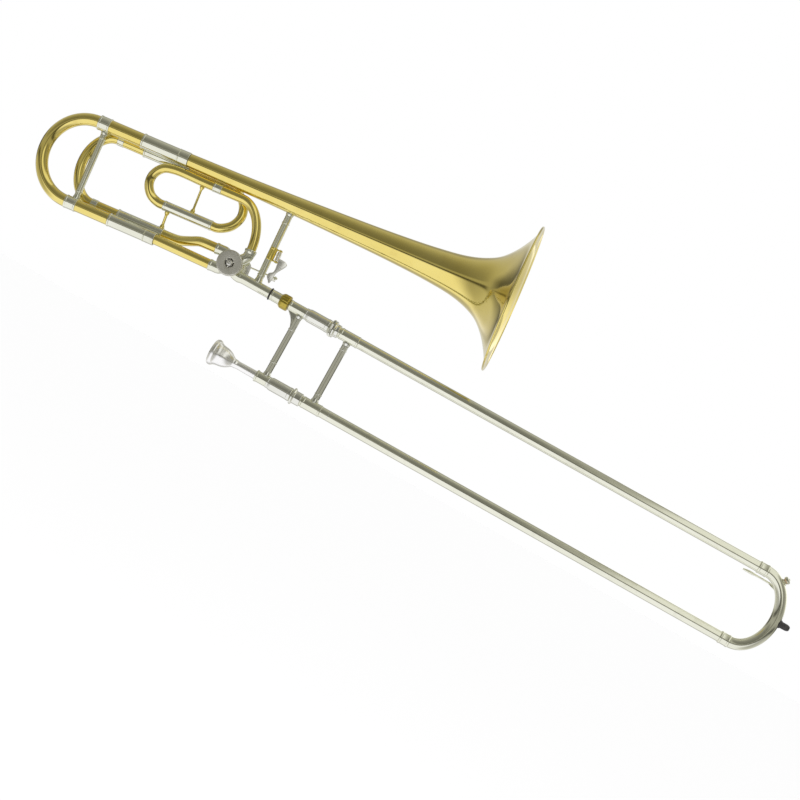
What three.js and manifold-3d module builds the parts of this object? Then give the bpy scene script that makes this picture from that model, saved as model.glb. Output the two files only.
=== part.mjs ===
// Tenor trombone with an F attachment, as an assembly of separate pieces.
// Millimetres. The hand slide lies along +X, its upper tube on the X axis,
// with the origin at the nut that locks the slide to the bell section.
// +Z points from the slide to the bell and +Y is the rotary valve's axis.
import * as THREE from "three";
import { mergeVertices } from "three/addons/utils/BufferGeometryUtils.js";
import Module from "manifold-3d";

const wasm = await Module();
wasm.setup();

// ---- driving dimensions -------------------------------------------------

const GAP = 0.3; // left between pieces that are soldered or pushed together
const BELL_TILT = THREE.MathUtils.degToRad(5.75); // bell section against the hand slide

const Y_AXIS = new THREE.Vector3(0, 1, 0);
const STRAIGHT_SIDES = 12;
const BENT_SIDES = 10;
const BELL_SIDES = 24;
const VALVE_SIDES = 20;

// hand slide
const SLIDE_SPACING = 105.4;
const LOWER_Z = -SLIDE_SPACING;
const OUTER_TUBE = { outer: 7.5, inner: 7.15, from: 75, to: 720.4 };
const INNER_TUBE = { outer: 6.8, inner: 6.35, from: 33.6, to: 702, stocking: 6.95, stockingFrom: 560 };
const BARREL = { outer: 9.2, inner: 7.4, from: 33.3, to: 69.2 };
const LOCK_RING = { outer: 12, inner: 7.4, from: 69.6, to: 74.2 };
const SLIDE_RING = { outer: 11.8, collar: 9.2, inner: 7.8, from: 74.6, flangeTo: 78, to: 84 };
const INNER_BRACE = { x: 25.9, r: 4.6 };
const HAND_BRACE = { x: 100.1, r: 4.8, sleeve: 9, sleeveFrom: 86, sleeveTo: 114 };
const CROWN = { x: 734.2, depth: 39.2, outer: 7.8, inner: 6.6, ferrule: 8.5 };
const BUMPER = { from: 781.6, to: 795.1, r: 4.3, tip: 3.2 };

// joint between hand slide and bell section
const NUT = { from: -7.2, to: 6.2, outer: 10.6, lobe: 0.5, lobes: 12, bore: 8.15, lip: 6.95, lipFrom: 2 };
const RECEIVER = { from: -22, to: -1, outer: 7.75, inner: 6.6 };
const RECEIVER_RING = { from: -24.2, to: -22.4, outer: 8.8, inner: 7.5 };
const NECK = { outer: 7.2, inner: 6.1, to: -22.4 };

// mouthpiece
const MOUTHPIECE = { front: -55.5, tip: 38, rim: 18.6 };

// bell, in the bell section's own frame
const BELL_Z = 125;
const BELL_WALL = 0.9;
const BELL_TAIL_X = -198.1;
const BELL_RIM_X = 281;

// main tuning slide
const MAIN_LOW_Z = 8.2;
const MAIN_TOP = { z: BELL_Z, sleeve: 10.1, bore: 9.05, leg: 9.6, inner: 8.9, bead: 10.8 };
const MAIN_LOW = { z: MAIN_LOW_Z, sleeve: 8.9, bore: 7.85, leg: 8.5, inner: 7.7, bead: 9.6 };
const MAIN_SLEEVE_FROM = -268.2;
const MAIN_SLEEVE_TO = -198.6;
const MAIN_FERRULE = { from: -333.6, to: -316.6, wall: 0.7 };
const MAIN_CROOK = { end: -333.9, depth: 55.9, outer: 8.6, inner: 7.7 };
const MAIN_BRACE = { x: -321.4, r: 4.3 };

// F tuning slide, one tube's width behind the main one
const F_Y = 16.5;
const F_TOP_Z = 114.3;
const F_LOW_Z = 19.4;
const F_SLEEVE = { outer: 7.9, bore: 6.5, bead: 8.6, from: -264.2, to: -196 };
const F_LEG = { outer: 6.9, inner: 6.3, bore: 5.6, ferrule: 7.5 };
const F_CROOK = { end: -304.5, depth: 34, outer: 6.9, inner: 6.1 };

// rotary valve
const VALVE = { x: -88.9, z: 18.3, casing: 15.6, bore: 12.6, half: 12, cap: 17.2, port: 5.7 };
const ROTOR = { r: 12.4, half: 11.6, spindle: 2.3, spindleTo: 18.6, channel: 5.6 };
const KNUCKLE = { outer: 7.8, inner: 6, reach: -116.4 };
const PORT_OFFSET = 12;
const STOP_ARM = { reach: 8, pin: 1.2, from: 15.4, to: 17.6, pinTo: 23.6 };

// F loop tubing in front of the valve's plane
const LOOP = { outer: 6.4, inner: 5.6, topZ: 105.6, lowZ: 55.9, lowY: 7 };
const LOOP_SLEEVE = { outer: 6.9, from: -208.2, to: -135.2 };
const CURVE_FOOT = { x: -71.3, z: 46.9 };

// bell brace and thumb lever
const BRACE_FOOT = new THREE.Vector3(-45.5, 0, 12.3);
const BRACE_HEAD = new THREE.Vector3(-42.2, 0, 111.4);
const BRACE_R = 4.9;
const SADDLE = { from: 44, to: 61, gap: 0.4, wall: 0.9, lug: 2.6 };
const LEVER_HINGE_X = -33.9;
const LEVER_HINGE_Z = 52.5;
const LEVER_SWING = THREE.MathUtils.degToRad(32.86); // whole travel of the thumb lever
const LEVER_ARM = 20;
const LEVER_BORE = 1.55; // in the lever's barrel, round a 1.3 pin
const LINK = { z: 25.1, y: 21.2, r: 1.1, eyeOffset: -0.9 };

// water key
const NIPPLE_ANGLE = THREE.MathUtils.degToRad(31);
const KEY_PIVOT = { x: 764.2, z: -18.8 };
const KEY_PLANE = { from: 9.8, to: 12 };

// ---- materials ----------------------------------------------------------

const metal = (color, roughness) => new THREE.MeshStandardMaterial({ color, roughness, metalness: 1 });
const soft = (color, roughness) => new THREE.MeshStandardMaterial({ color, roughness, metalness: 0 });
const MATERIALS = {
  brass: () => metal(0xc9a94b, 0.18),
  nutBrass: () => metal(0xb08a1e, 0.25),
  nickel: () => metal(0xb5b39c, 0.2),
  chrome: () => metal(0xd0d0c6, 0.12),
  satin: () => metal(0x9a9888, 0.45),
  silver: () => metal(0xe8e8e0, 0.1),
  rubber: () => soft(0x1c1a17, 0.6),
  cork: () => soft(0xb08a5a, 0.85),
};

// ---- geometry helpers ---------------------------------------------------

function toSolid(geometry) {
  const bare = geometry.clone();
  bare.deleteAttribute("normal");
  bare.deleteAttribute("uv");
  const merged = mergeVertices(bare, 1e-4);
  return new wasm.Manifold(new wasm.Mesh({
    numProp: 3,
    vertProperties: new Float32Array(merged.attributes.position.array),
    triVerts: new Uint32Array(merged.index.array),
  }));
}

function toGeometry(solid) {
  const mesh = solid.getMesh();
  const geometry = new THREE.BufferGeometry();
  geometry.setAttribute("position", new THREE.BufferAttribute(mesh.vertProperties, 3));
  geometry.setIndex(new THREE.BufferAttribute(mesh.triVerts, 1));
  return geometry;
}

function join(...geometries) {
  return toGeometry(geometries.map(toSolid).reduce((whole, piece) => whole.add(piece)));
}

function cut(geometry, ...tools) {
  return toGeometry(tools.map(toSolid).reduce((whole, tool) => whole.subtract(tool), toSolid(geometry)));
}

// A turned piece along +X. The outline is [along, radius] points, closed by hand
// at the axis or back onto its first point.
function turned(outline, sides = STRAIGHT_SIDES) {
  const points = outline.map(([along, radius]) => new THREE.Vector2(radius, along));
  return new THREE.LatheGeometry(points, sides).rotateZ(-Math.PI / 2);
}

function hollow(outerOutline, innerOutline, sides = STRAIGHT_SIDES) {
  const loop = [...outerOutline, ...innerOutline.toReversed()];
  return turned([...loop, loop[0]], sides);
}

function tube(from, to, outer, inner, sides = STRAIGHT_SIDES) {
  return hollow([[from, outer], [to, outer]], [[from, inner], [to, inner]], sides);
}

function rod(from, to, r, sides = STRAIGHT_SIDES) {
  return turned([[from, 0], [from, r], [to, r], [to, 0]], sides);
}

// Turns a piece made along +X so that it runs from one point towards another.
function aim(geometry, start, end) {
  const direction = end.clone().sub(start).normalize();
  const turn = new THREE.Quaternion().setFromUnitVectors(new THREE.Vector3(1, 0, 0), direction);
  return geometry.applyQuaternion(turn).translate(start.x, start.y, start.z);
}

const alongY = (geometry, x = 0, z = 0) => geometry.rotateZ(Math.PI / 2).translate(x, 0, z);

function circle(r, sides) {
  return Array.from({ length: sides }, (_, i) => {
    const angle = (2 * Math.PI * (i + 0.5)) / sides;
    return new THREE.Vector2(r * Math.cos(angle), r * Math.sin(angle));
  });
}

function bent(path, steps, outer, inner, sides = BENT_SIDES) {
  const section = new THREE.Shape(circle(outer, sides));
  if (inner) section.holes.push(new THREE.Path(circle(inner, sides)));
  return new THREE.ExtrudeGeometry(section, { steps, bevelEnabled: false, extrudePath: path });
}

const smooth = (...points) =>
  new THREE.CatmullRomCurve3(points.map((p) => new THREE.Vector3(...p)), false, "centripetal");

// Part of an ellipse in the XZ plane; angle 0 is +Z and 90 degrees is +X.
class EllipseArc extends THREE.Curve {
  constructor({ x, z, y = 0, rx, rz, start, end }) {
    super();
    Object.assign(this, { x, z, y, rx, rz, start, end });
  }

  getPoint(t, target = new THREE.Vector3()) {
    const angle = THREE.MathUtils.degToRad(this.start + (this.end - this.start) * t);
    return target.set(this.x + this.rx * Math.sin(angle), this.y, this.z + this.rz * Math.cos(angle));
  }
}

// A flat plate: an outline in XZ, with a thickness in Y.
function plate(points, fromY, toY, holes = []) {
  const shape = new THREE.Shape(points.map(([x, z]) => new THREE.Vector2(x, z)));
  holes.forEach((hole) => shape.holes.push(new THREE.Path(hole.map(([x, z]) => new THREE.Vector2(x, z)))));
  const geometry = new THREE.ExtrudeGeometry(shape, { depth: toY - fromY, bevelEnabled: false });
  return geometry.rotateX(Math.PI / 2).translate(0, toY, 0);
}

function block(from, to) {
  const size = to.map((value, axis) => value - from[axis]);
  const middle = to.map((value, axis) => (value + from[axis]) / 2);
  return new THREE.BoxGeometry(...size).translate(...middle);
}

function bar(start, end, width, fromY, toY) {
  const along = new THREE.Vector2(end[0] - start[0], end[1] - start[1]);
  const side = new THREE.Vector2(-along.y, along.x).setLength(width / 2);
  return plate([
    [start[0] + side.x, start[1] + side.y],
    [start[0] - side.x, start[1] - side.y],
    [end[0] - side.x, end[1] - side.y],
    [end[0] + side.x, end[1] + side.y],
  ], fromY, toY);
}

// ---- scene graph --------------------------------------------------------

const trombone = new THREE.Group();
const bellSection = new THREE.Group();
bellSection.rotation.y = -BELL_TILT;
trombone.add(bellSection);

function add(parent, name, geometry, material, position = [0, 0, 0]) {
  const mesh = new THREE.Mesh(geometry, MATERIALS[material]());
  mesh.name = name;
  mesh.position.set(...position);
  parent.add(mesh);
}

// ---- bell ---------------------------------------------------------------

function bell() {
  const flare = new THREE.SplineCurve([
    [BELL_TAIL_X, 9.75], [-103, 11.3], [0, 14.5], [100, 18.9], [160, 23.4], [201, 29],
    [225, 36.2], [243, 45.6], [258, 60.5], [269, 76.5], [276, 90], [BELL_RIM_X - 1.6, 101.6],
  ].map(([x, r]) => new THREE.Vector2(x, r)));
  const outside = flare.getPoints(18).map((point) => [point.x, point.y]);
  const inside = flare.getPoints(16).map((point, index, all) => {
    const next = all[Math.min(index + 1, all.length - 1)];
    const last = all[Math.max(index - 1, 0)];
    const slope = next.clone().sub(last).normalize();
    return [point.x + slope.y * BELL_WALL, point.y - slope.x * BELL_WALL];
  });
  inside[0][0] = BELL_TAIL_X;
  const bead = [[BELL_RIM_X - 1.5, 103.5], [BELL_RIM_X, 104.4], [BELL_RIM_X + 1.5, 103.2]];
  return hollow([...outside, ...bead], inside, BELL_SIDES);
}

add(bellSection, "bell", bell(), "brass", [0, 0, BELL_Z]);

// ---- main tuning slide and the sleeves it slides in ------------------------

function sleeve(from, to, outer, bore, bead) {
  const beadWidth = 2.4;
  return hollow(
    [[from, bead], [from + beadWidth, bead], [from + beadWidth, outer], [to, outer]],
    [[from, bore], [to, bore]],
  );
}

function slideLeg(from, shoulder, to, outer, inner, bore) {
  return hollow([[from, outer], [shoulder, outer], [shoulder, inner], [to, inner]], [[from, bore], [to, bore]]);
}

for (const [side, leg] of [["top", MAIN_TOP], ["bottom", MAIN_LOW]]) {
  const place = [0, 0, leg.z];
  const shoulder = MAIN_SLEEVE_FROM - GAP;
  add(bellSection, `main_sleeve_${side}`,
    sleeve(MAIN_SLEEVE_FROM, MAIN_SLEEVE_TO, leg.sleeve, leg.bore, leg.bead), "nickel", place);
  add(bellSection, `main_leg_${side}`,
    slideLeg(MAIN_FERRULE.to + GAP, shoulder, MAIN_SLEEVE_TO - 8, leg.leg, leg.inner, leg.inner - 0.8),
    "brass", place);
  add(bellSection, `main_ferrule_${side}`,
    tube(MAIN_FERRULE.from, MAIN_FERRULE.to, leg.leg + MAIN_FERRULE.wall, leg.inner - 0.8), "nickel", place);
}

const mainMiddle = (BELL_Z + MAIN_LOW_Z) / 2;
add(bellSection, "main_crook", bent(new EllipseArc({
  x: MAIN_CROOK.end, z: mainMiddle, rx: MAIN_CROOK.depth, rz: BELL_Z - mainMiddle, start: 360, end: 180,
}), 12, MAIN_CROOK.outer, MAIN_CROOK.inner), "brass");

function turnedBrace(length, waist, foot) {
  const flare = foot * 0.9;
  return turned([[0, 0], [0, foot], [flare, waist], [length - flare, waist], [length, foot], [length, 0]], 12);
}

function braceBetween(start, end, waist, foot) {
  const from = new THREE.Vector3(...start);
  const to = new THREE.Vector3(...end);
  return aim(turnedBrace(from.distanceTo(to), waist, foot), from, to);
}

add(bellSection, "main_slide_brace", braceBetween(
  [MAIN_BRACE.x, 0, MAIN_LOW_Z + MAIN_LOW.leg + MAIN_FERRULE.wall + GAP],
  [MAIN_BRACE.x, 0, BELL_Z - MAIN_TOP.leg - MAIN_FERRULE.wall - GAP],
  MAIN_BRACE.r, MAIN_BRACE.r + 0.8,
), "nickel");

// ---- F tuning slide -------------------------------------------------------

for (const [side, z] of [["top", F_TOP_Z], ["bottom", F_LOW_Z]]) {
  const place = [0, F_Y, z];
  const shoulder = F_SLEEVE.from - GAP;
  const ferruleTo = F_CROOK.end + 10;
  const leg = hollow(
    [[F_CROOK.end + GAP, F_LEG.ferrule], [ferruleTo, F_LEG.ferrule], [ferruleTo, F_LEG.outer],
      [shoulder, F_LEG.outer], [shoulder, F_LEG.inner], [F_SLEEVE.to - 6, F_LEG.inner]],
    [[F_CROOK.end + GAP, F_LEG.bore], [F_SLEEVE.to - 6, F_LEG.bore]],
  );
  add(bellSection, `f_sleeve_${side}`,
    sleeve(F_SLEEVE.from, F_SLEEVE.to, F_SLEEVE.outer, F_SLEEVE.bore, F_SLEEVE.bead), "nickel", place);
  add(bellSection, `f_leg_${side}`, leg, "brass", place);
}

const fMiddle = (F_TOP_Z + F_LOW_Z) / 2;
add(bellSection, "f_crook", bent(new EllipseArc({
  x: F_CROOK.end, y: F_Y, z: fMiddle, rx: F_CROOK.depth, rz: F_TOP_Z - fMiddle, start: 360, end: 180,
}), 12, F_CROOK.outer, F_CROOK.inner), "brass");

// ---- tubing between the slides and the valve --------------------------------

const portTopZ = VALVE.z + PORT_OFFSET;
const portLowZ = VALVE.z - PORT_OFFSET;

add(bellSection, "lower_main_tube", bent(new THREE.LineCurve3(
  new THREE.Vector3(MAIN_SLEEVE_TO + GAP, 0, MAIN_LOW_Z),
  new THREE.Vector3(KNUCKLE.reach - GAP, 0, portLowZ),
), 1, 7.1, 6.2, STRAIGHT_SIDES), "brass");

add(bellSection, "f_return_tube", bent(smooth(
  [F_SLEEVE.to + GAP, F_Y, F_LOW_Z], [-184, F_Y, F_LOW_Z], [-170, 13, 20.5], [-155, 7.5, 25],
  [-141, 2.2, 29.7], [-129, 0, portTopZ], [KNUCKLE.reach - GAP, 0, portTopZ],
), 12, 6.9, 6), "brass");

add(bellSection, "loop_rear_tube", bent(smooth(
  [LOOP_SLEEVE.to + GAP, LOOP.lowY, LOOP.lowZ], [-129, LOOP.lowY, LOOP.lowZ], [-120, 8.2, 59.4],
  [-110, 10.5, 68], [-104.4, 13, 84], [-110.5, 15.2, 102], [-125, F_Y, 112.4], [-138, F_Y, F_TOP_Z],
  [-166, F_Y, F_TOP_Z], [F_SLEEVE.to + GAP, F_Y, F_TOP_Z],
), 15, LOOP.outer, LOOP.inner), "brass");

add(bellSection, "loop_lower_sleeve",
  tube(LOOP_SLEEVE.from, LOOP_SLEEVE.to, LOOP_SLEEVE.outer, LOOP.inner), "nickel", [0, LOOP.lowY, LOOP.lowZ]);

const curveTopX = -110.9;
add(bellSection, "loop_front_tube", bent(smooth(
  [curveTopX - GAP, 0, LOOP.topZ], [-165, 0, LOOP.topZ], [-213, 0, LOOP.topZ], [-228, 1.4, 101],
  [-237.5, 3, 88], [-237.5, 4.2, 74], [-229, 5.8, 61.5], [-216, 7, 56.2],
  [LOOP_SLEEVE.from - GAP, LOOP.lowY, LOOP.lowZ],
), 16, LOOP.outer, LOOP.inner), "brass");

add(bellSection, "valve_curve", bent(new EllipseArc({
  x: curveTopX, z: CURVE_FOOT.z, rx: CURVE_FOOT.x - curveTopX, rz: LOOP.topZ - CURVE_FOOT.z, start: 0, end: 90,
}), 9, LOOP.outer, LOOP.inner), "brass");

add(bellSection, "loop_brace", braceBetween(
  [-167.7, 0, LOOP.topZ - LOOP.outer - 0.5],
  [-167.7, LOOP.lowY - 1, LOOP.lowZ + LOOP_SLEEVE.outer + 0.6], 1.5, 3.2,
), "brass");
add(bellSection, "sleeve_brace", braceBetween(
  [-200, LOOP.lowY + 1.6, LOOP.lowZ - LOOP_SLEEVE.outer - 0.6],
  [-200, F_Y - 1.6, F_LOW_Z + F_SLEEVE.outer + 0.7], 1.9, 3.2,
), "brass");

// ---- rotary valve -----------------------------------------------------------

const diagonal = (quarter, r) => {
  const angle = THREE.MathUtils.degToRad(45 + 90 * quarter);
  return [VALVE.x + r * Math.cos(angle), 0, VALVE.z + r * Math.sin(angle)];
};
const UPPER_RIGHT = 0;
const UPPER_LEFT = 1;
const LOWER_LEFT = 2;
const LOWER_RIGHT = 3;

function casing() {
  const shell = alongY(tube(-VALVE.half, VALVE.half, VALVE.casing, VALVE.bore, VALVE_SIDES), VALVE.x, VALVE.z);
  const ports = [UPPER_RIGHT, UPPER_LEFT, LOWER_LEFT, LOWER_RIGHT].map((quarter) => {
    const inside = new THREE.Vector3(...diagonal(quarter, 9));
    const outside = new THREE.Vector3(...diagonal(quarter, 20));
    return aim(rod(0, 11, VALVE.port, 12), inside, outside);
  });
  return cut(shell, ...ports);
}

const clearOfCasing = () =>
  alongY(rod(-VALVE.half - 1, VALVE.half + 1, VALVE.casing + GAP, VALVE_SIDES), VALVE.x, VALVE.z);

function knuckle(path) {
  return cut(bent(path, 7, KNUCKLE.outer, KNUCKLE.inner), clearOfCasing());
}

add(bellSection, "valve_casing", casing(), "nickel");
add(bellSection, "knuckle_lower_left", knuckle(smooth(
  [KNUCKLE.reach, 0, portLowZ], [-109, 0, portLowZ], [-102.5, 0, portLowZ + 0.2], diagonal(LOWER_LEFT, 12),
)), "nickel");
add(bellSection, "knuckle_upper_left", knuckle(smooth(
  [KNUCKLE.reach, 0, portTopZ], [-109, 0, portTopZ], [-102.5, 0, portTopZ - 0.2], diagonal(UPPER_LEFT, 12),
)), "nickel");
add(bellSection, "knuckle_upper_right", knuckle(smooth(
  [CURVE_FOOT.x, 0, CURVE_FOOT.z - GAP], [CURVE_FOOT.x, 0, 40], [-73.2, 0, 34], diagonal(UPPER_RIGHT, 12),
)), "nickel");

function valveCap() {
  const face = -VALVE.half - 4.4;
  const back = -VALVE.half - GAP;
  return alongY(turned([
    [face - 1.4, 0], [face - 1.4, 3.2], [face + 1, 3.6], [face + 1, 6.2], [face, 7], [face, VALVE.cap - 1],
    [face + 1, VALVE.cap], [back, VALVE.cap], [back, 0],
  ], VALVE_SIDES), VALVE.x, VALVE.z);
}

add(bellSection, "valve_cap", valveCap(), "satin");
add(bellSection, "valve_back_plate", alongY(
  tube(VALVE.half + GAP, VALVE.half + 2.2, VALVE.casing, ROTOR.spindle + 0.3, VALVE_SIDES), VALVE.x, VALVE.z,
), "nickel");

function rotor() {
  const body = alongY(turned([
    [-ROTOR.half, 0], [-ROTOR.half, ROTOR.r], [ROTOR.half, ROTOR.r], [ROTOR.half, ROTOR.spindle],
    [ROTOR.spindleTo, ROTOR.spindle], [ROTOR.spindleTo, 0],
  ], VALVE_SIDES), VALVE.x, VALVE.z);
  const channels = [[LOWER_LEFT, LOWER_RIGHT, -1], [UPPER_RIGHT, UPPER_LEFT, 1]].map(([from, to, side]) => {
    const path = new THREE.QuadraticBezierCurve3(
      new THREE.Vector3(...diagonal(from, 15)),
      new THREE.Vector3(VALVE.x, 0, VALVE.z + side * 3.2),
      new THREE.Vector3(...diagonal(to, 15)),
    );
    return bent(path, 6, ROTOR.channel, 0);
  });
  return cut(body, ...channels);
}

function stopArm() {
  const hub = alongY(tube(STOP_ARM.from, STOP_ARM.to, 4.4, ROTOR.spindle + 0.3, 12), VALVE.x, VALVE.z);
  const [pinX, , pinZ] = diagonal(UPPER_RIGHT, STOP_ARM.reach);
  const [startX, , startZ] = diagonal(UPPER_RIGHT, 3.4);
  const [endX, , endZ] = diagonal(UPPER_RIGHT, STOP_ARM.reach + 2);
  const arm = bar([startX, startZ], [endX, endZ], 4, STOP_ARM.from, STOP_ARM.to);
  const pin = alongY(rod(STOP_ARM.from + 0.5, STOP_ARM.pinTo, STOP_ARM.pin, 8), pinX, pinZ);
  return join(hub, arm, pin);
}

add(bellSection, "rotor", rotor(), "satin");
add(bellSection, "stop_arm", stopArm(), "nickel");

// ---- neckpipe, receiver and lock nut ------------------------------------------

function neckpipe() {
  const port = new THREE.Vector3(...diagonal(LOWER_RIGHT, 12)).applyAxisAngle(Y_AXIS, -BELL_TILT);
  const path = smooth(
    [port.x, 0, port.z], [-73.5, 0, -0.6], [-64, 0, 0], [-45, 0, 0], [NECK.to - GAP, 0, 0],
  );
  const room = clearOfCasing().rotateY(-BELL_TILT);
  return cut(bent(path, 9, NECK.outer, NECK.inner, 12), room);
}

add(trombone, "neckpipe", neckpipe(), "nickel");
add(trombone, "receiver_ring",
  tube(RECEIVER_RING.from, RECEIVER_RING.to, RECEIVER_RING.outer, RECEIVER_RING.inner), "rubber");
add(trombone, "bell_receiver", tube(RECEIVER.from, RECEIVER.to, RECEIVER.outer, RECEIVER.inner), "nickel");

function lockNut() {
  const grip = new THREE.Shape(Array.from({ length: NUT.lobes * 4 }, (_, i) => {
    const angle = (2 * Math.PI * i) / (NUT.lobes * 4);
    const r = NUT.outer + NUT.lobe * Math.cos(NUT.lobes * angle);
    return new THREE.Vector2(r * Math.cos(angle), r * Math.sin(angle));
  }));
  const ring = new THREE.ExtrudeGeometry(grip, { depth: NUT.to - NUT.from, bevelEnabled: false })
    .rotateY(Math.PI / 2).translate(NUT.from, 0, 0);
  const bore = turned([
    [NUT.from - 1, 0], [NUT.from - 1, NUT.bore], [NUT.lipFrom, NUT.bore], [NUT.lipFrom, NUT.lip],
    [NUT.to + 1, NUT.lip], [NUT.to + 1, 0],
  ]);
  return cut(ring, bore);
}

add(trombone, "lock_nut", lockNut(), "nutBrass");

// ---- bell brace, thumb lever and linkage ----------------------------------------

function levered(geometry) {
  const upright = BRACE_HEAD.clone().sub(BRACE_FOOT).normalize();
  const lean = new THREE.Quaternion().setFromUnitVectors(new THREE.Vector3(0, 0, 1), upright);
  const pivot = [LEVER_HINGE_X, 0, LEVER_HINGE_Z];
  return geometry.translate(...pivot.map((value) => -value)).applyQuaternion(lean).translate(...pivot);
}

function uprightTube(x, fromZ, toZ, outer, inner, sides = 12) {
  const piece = inner ? tube(fromZ, toZ, outer, inner, sides) : rod(fromZ, toZ, outer, sides);
  return piece.rotateY(-Math.PI / 2).translate(x, 0, 0);
}

add(bellSection, "bell_brace", aim(
  rod(0, BRACE_HEAD.distanceTo(BRACE_FOOT), BRACE_R, 12), BRACE_FOOT, BRACE_HEAD,
), "nickel");

function leverSaddle() {
  const braceX = BRACE_FOOT.clone().lerp(BRACE_HEAD, 0.4).x;
  const bore = BRACE_R + SADDLE.gap;
  const collar = uprightTube(braceX, SADDLE.from, SADDLE.to, bore + SADDLE.wall, bore);
  const lugs = [[43.6, 45.6], [59.4, 61.4]].map(([from, to]) => {
    const web = block([braceX, -SADDLE.lug, from], [LEVER_HINGE_X, SADDLE.lug, to]);
    const end = uprightTube(LEVER_HINGE_X, from, to, SADDLE.lug, 0);
    return cut(join(web, end), uprightTube(braceX, from - 1, to + 1, bore, 0));
  });
  const pin = uprightTube(LEVER_HINGE_X, 43.6, 61.4, 1.3, 0);
  return levered(join(collar, ...lugs, pin));
}

function thumbLever() {
  const x = LEVER_HINGE_X;
  const paddle = plate([
    [x, 50.5], [x + 13, 50], [x + 15.6, 47.5], [x + 15, 43.5], [x + 6.5, 29.5], [x + 6.5, 21.5],
    [x + 3.5, 14], [x + 0.5, 18], [x - 2.2, 22], [x - 1.6, 27.5], [x + 3.2, 31], [x + 3.2, 46.2], [x, 46.2],
  ], -0.9, 0.9);
  const barrel = uprightTube(x, 46.1, 58.9, 2.7, 0);
  const rest = LEVER_SWING / 2;
  const studX = x + LEVER_ARM * Math.sin(rest);
  const studY = LEVER_ARM * Math.cos(rest);
  const arm = new THREE.BoxGeometry(4, LEVER_ARM + 2, 2.6)
    .translate(0, LEVER_ARM / 2, 0).rotateZ(-rest).translate(x, 0, LINK.z - 3.6);
  const stud = uprightTube(studX, LINK.z - 4, LINK.z + 2.6, 1.2, 0, 8).translate(0, studY, 0);
  const bore = uprightTube(x, 45, 60, LEVER_BORE, 0);
  return levered(cut(join(barrel, paddle, arm, stud), bore));
}

function valveLink() {
  const rest = LEVER_SWING / 2;
  const studX = LEVER_HINGE_X + LEVER_ARM * Math.sin(rest) + LINK.eyeOffset;
  const studY = LEVER_ARM * Math.cos(rest);
  const [pinX] = diagonal(UPPER_RIGHT, STOP_ARM.reach);
  const eyeHalf = 4.7;
  const slotHalf = { x: 1.65, z: 3.1 };
  const rectangle = (halfX, halfZ) =>
    [[-halfX, -halfZ], [halfX, -halfZ], [halfX, halfZ], [-halfX, halfZ]].map(([x, z]) => [pinX + x, LINK.z + z]);
  const eye = plate(rectangle(3.2, eyeHalf), LINK.y - 1, LINK.y + 1, [rectangle(slotHalf.x, slotHalf.z)]);
  const wire = rod(pinX + 2.4, studX, LINK.r, 8).translate(0, LINK.y, LINK.z);
  const ring = uprightTube(studX, LINK.z - 1.4, LINK.z + 1.4, 3, 1.6).translate(0, studY, 0);
  const room = uprightTube(studX, LINK.z - 3, LINK.z + 3, 1.6, 0).translate(0, studY, 0);
  return cut(join(eye, wire, ring), room);
}

add(bellSection, "lever_saddle", leverSaddle(), "brass");
add(bellSection, "thumb_lever", thumbLever(), "silver");
add(bellSection, "valve_link", valveLink(), "nickel");

function coilSpring(turns, coilR, wireR, pitch) {
  const points = Array.from({ length: turns * 8 + 1 }, (_, i) => {
    const angle = (i * Math.PI) / 4;
    return [coilR * Math.cos(angle), coilR * Math.sin(angle), (pitch * i) / 8];
  });
  return bent(smooth(...points), turns * 9, wireR, 0, 5);
}

add(bellSection, "lever_spring",
  levered(coilSpring(3, 3.2, 0.35, 1.6).translate(LEVER_HINGE_X, 0, 51.8)), "nickel");

// ---- inner slide -----------------------------------------------------------------

add(trombone, "slide_tenon", hollow(
  [[-18, 6.3], [-0.7, 6.3], [-0.7, 7.4], [1.7, 7.4], [1.7, 6.5], [6.6, 6.5], [6.6, 7.4], [33, 7.4]],
  [[-18, 5.6], [33, 5.6]],
), "nickel");
add(trombone, "mouthpiece_receiver", hollow(
  [[13.2, 8.2], [16, 8.2], [16, 7.6], [33, 7.6]], [[13.2, 6.25], [33, 6.25]],
), "nickel", [0, 0, LOWER_Z]);

function innerBrace() {
  const top = -7.4 - GAP;
  const bottom = LOWER_Z + 7.6 + GAP;
  const post = turned([
    [bottom, 0], [bottom, 5.4], [-80, 4.9], [-77, INNER_BRACE.r], [-29, INNER_BRACE.r], [-26, 4.9], [top, 5.4], [top, 0],
  ], 12).rotateY(-Math.PI / 2).translate(INNER_BRACE.x, 0, 0);
  const gusset = plate([
    [8, top], [INNER_BRACE.x, top], [INNER_BRACE.x, -26], [21.5, -25], [18.5, -17], [13.5, -11.5],
  ], -1.8, 1.8);
  return join(post, gusset);
}

add(trombone, "inner_brace", innerBrace(), "chrome");

for (const [side, z] of [["upper", 0], ["lower", LOWER_Z]]) {
  const place = [0, 0, z];
  add(trombone, `cork_barrel_${side}`, tube(BARREL.from, BARREL.to, BARREL.outer, BARREL.inner), "chrome", place);
  add(trombone, `inner_tube_${side}`, hollow(
    [[INNER_TUBE.from, INNER_TUBE.outer], [INNER_TUBE.stockingFrom, INNER_TUBE.outer],
      [INNER_TUBE.stockingFrom, INNER_TUBE.stocking], [INNER_TUBE.to, INNER_TUBE.stocking]],
    [[INNER_TUBE.from, INNER_TUBE.inner], [INNER_TUBE.to, INNER_TUBE.inner]],
  ), "chrome", place);
}

add(trombone, "leadpipe", tube(42, 250, 5.95, 5.4, 12), "brass", [0, 0, LOWER_Z]);
add(trombone, "slide_lock_ring", tube(LOCK_RING.from, LOCK_RING.to, LOCK_RING.outer, LOCK_RING.inner), "chrome");

// ---- outer slide -----------------------------------------------------------------

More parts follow.
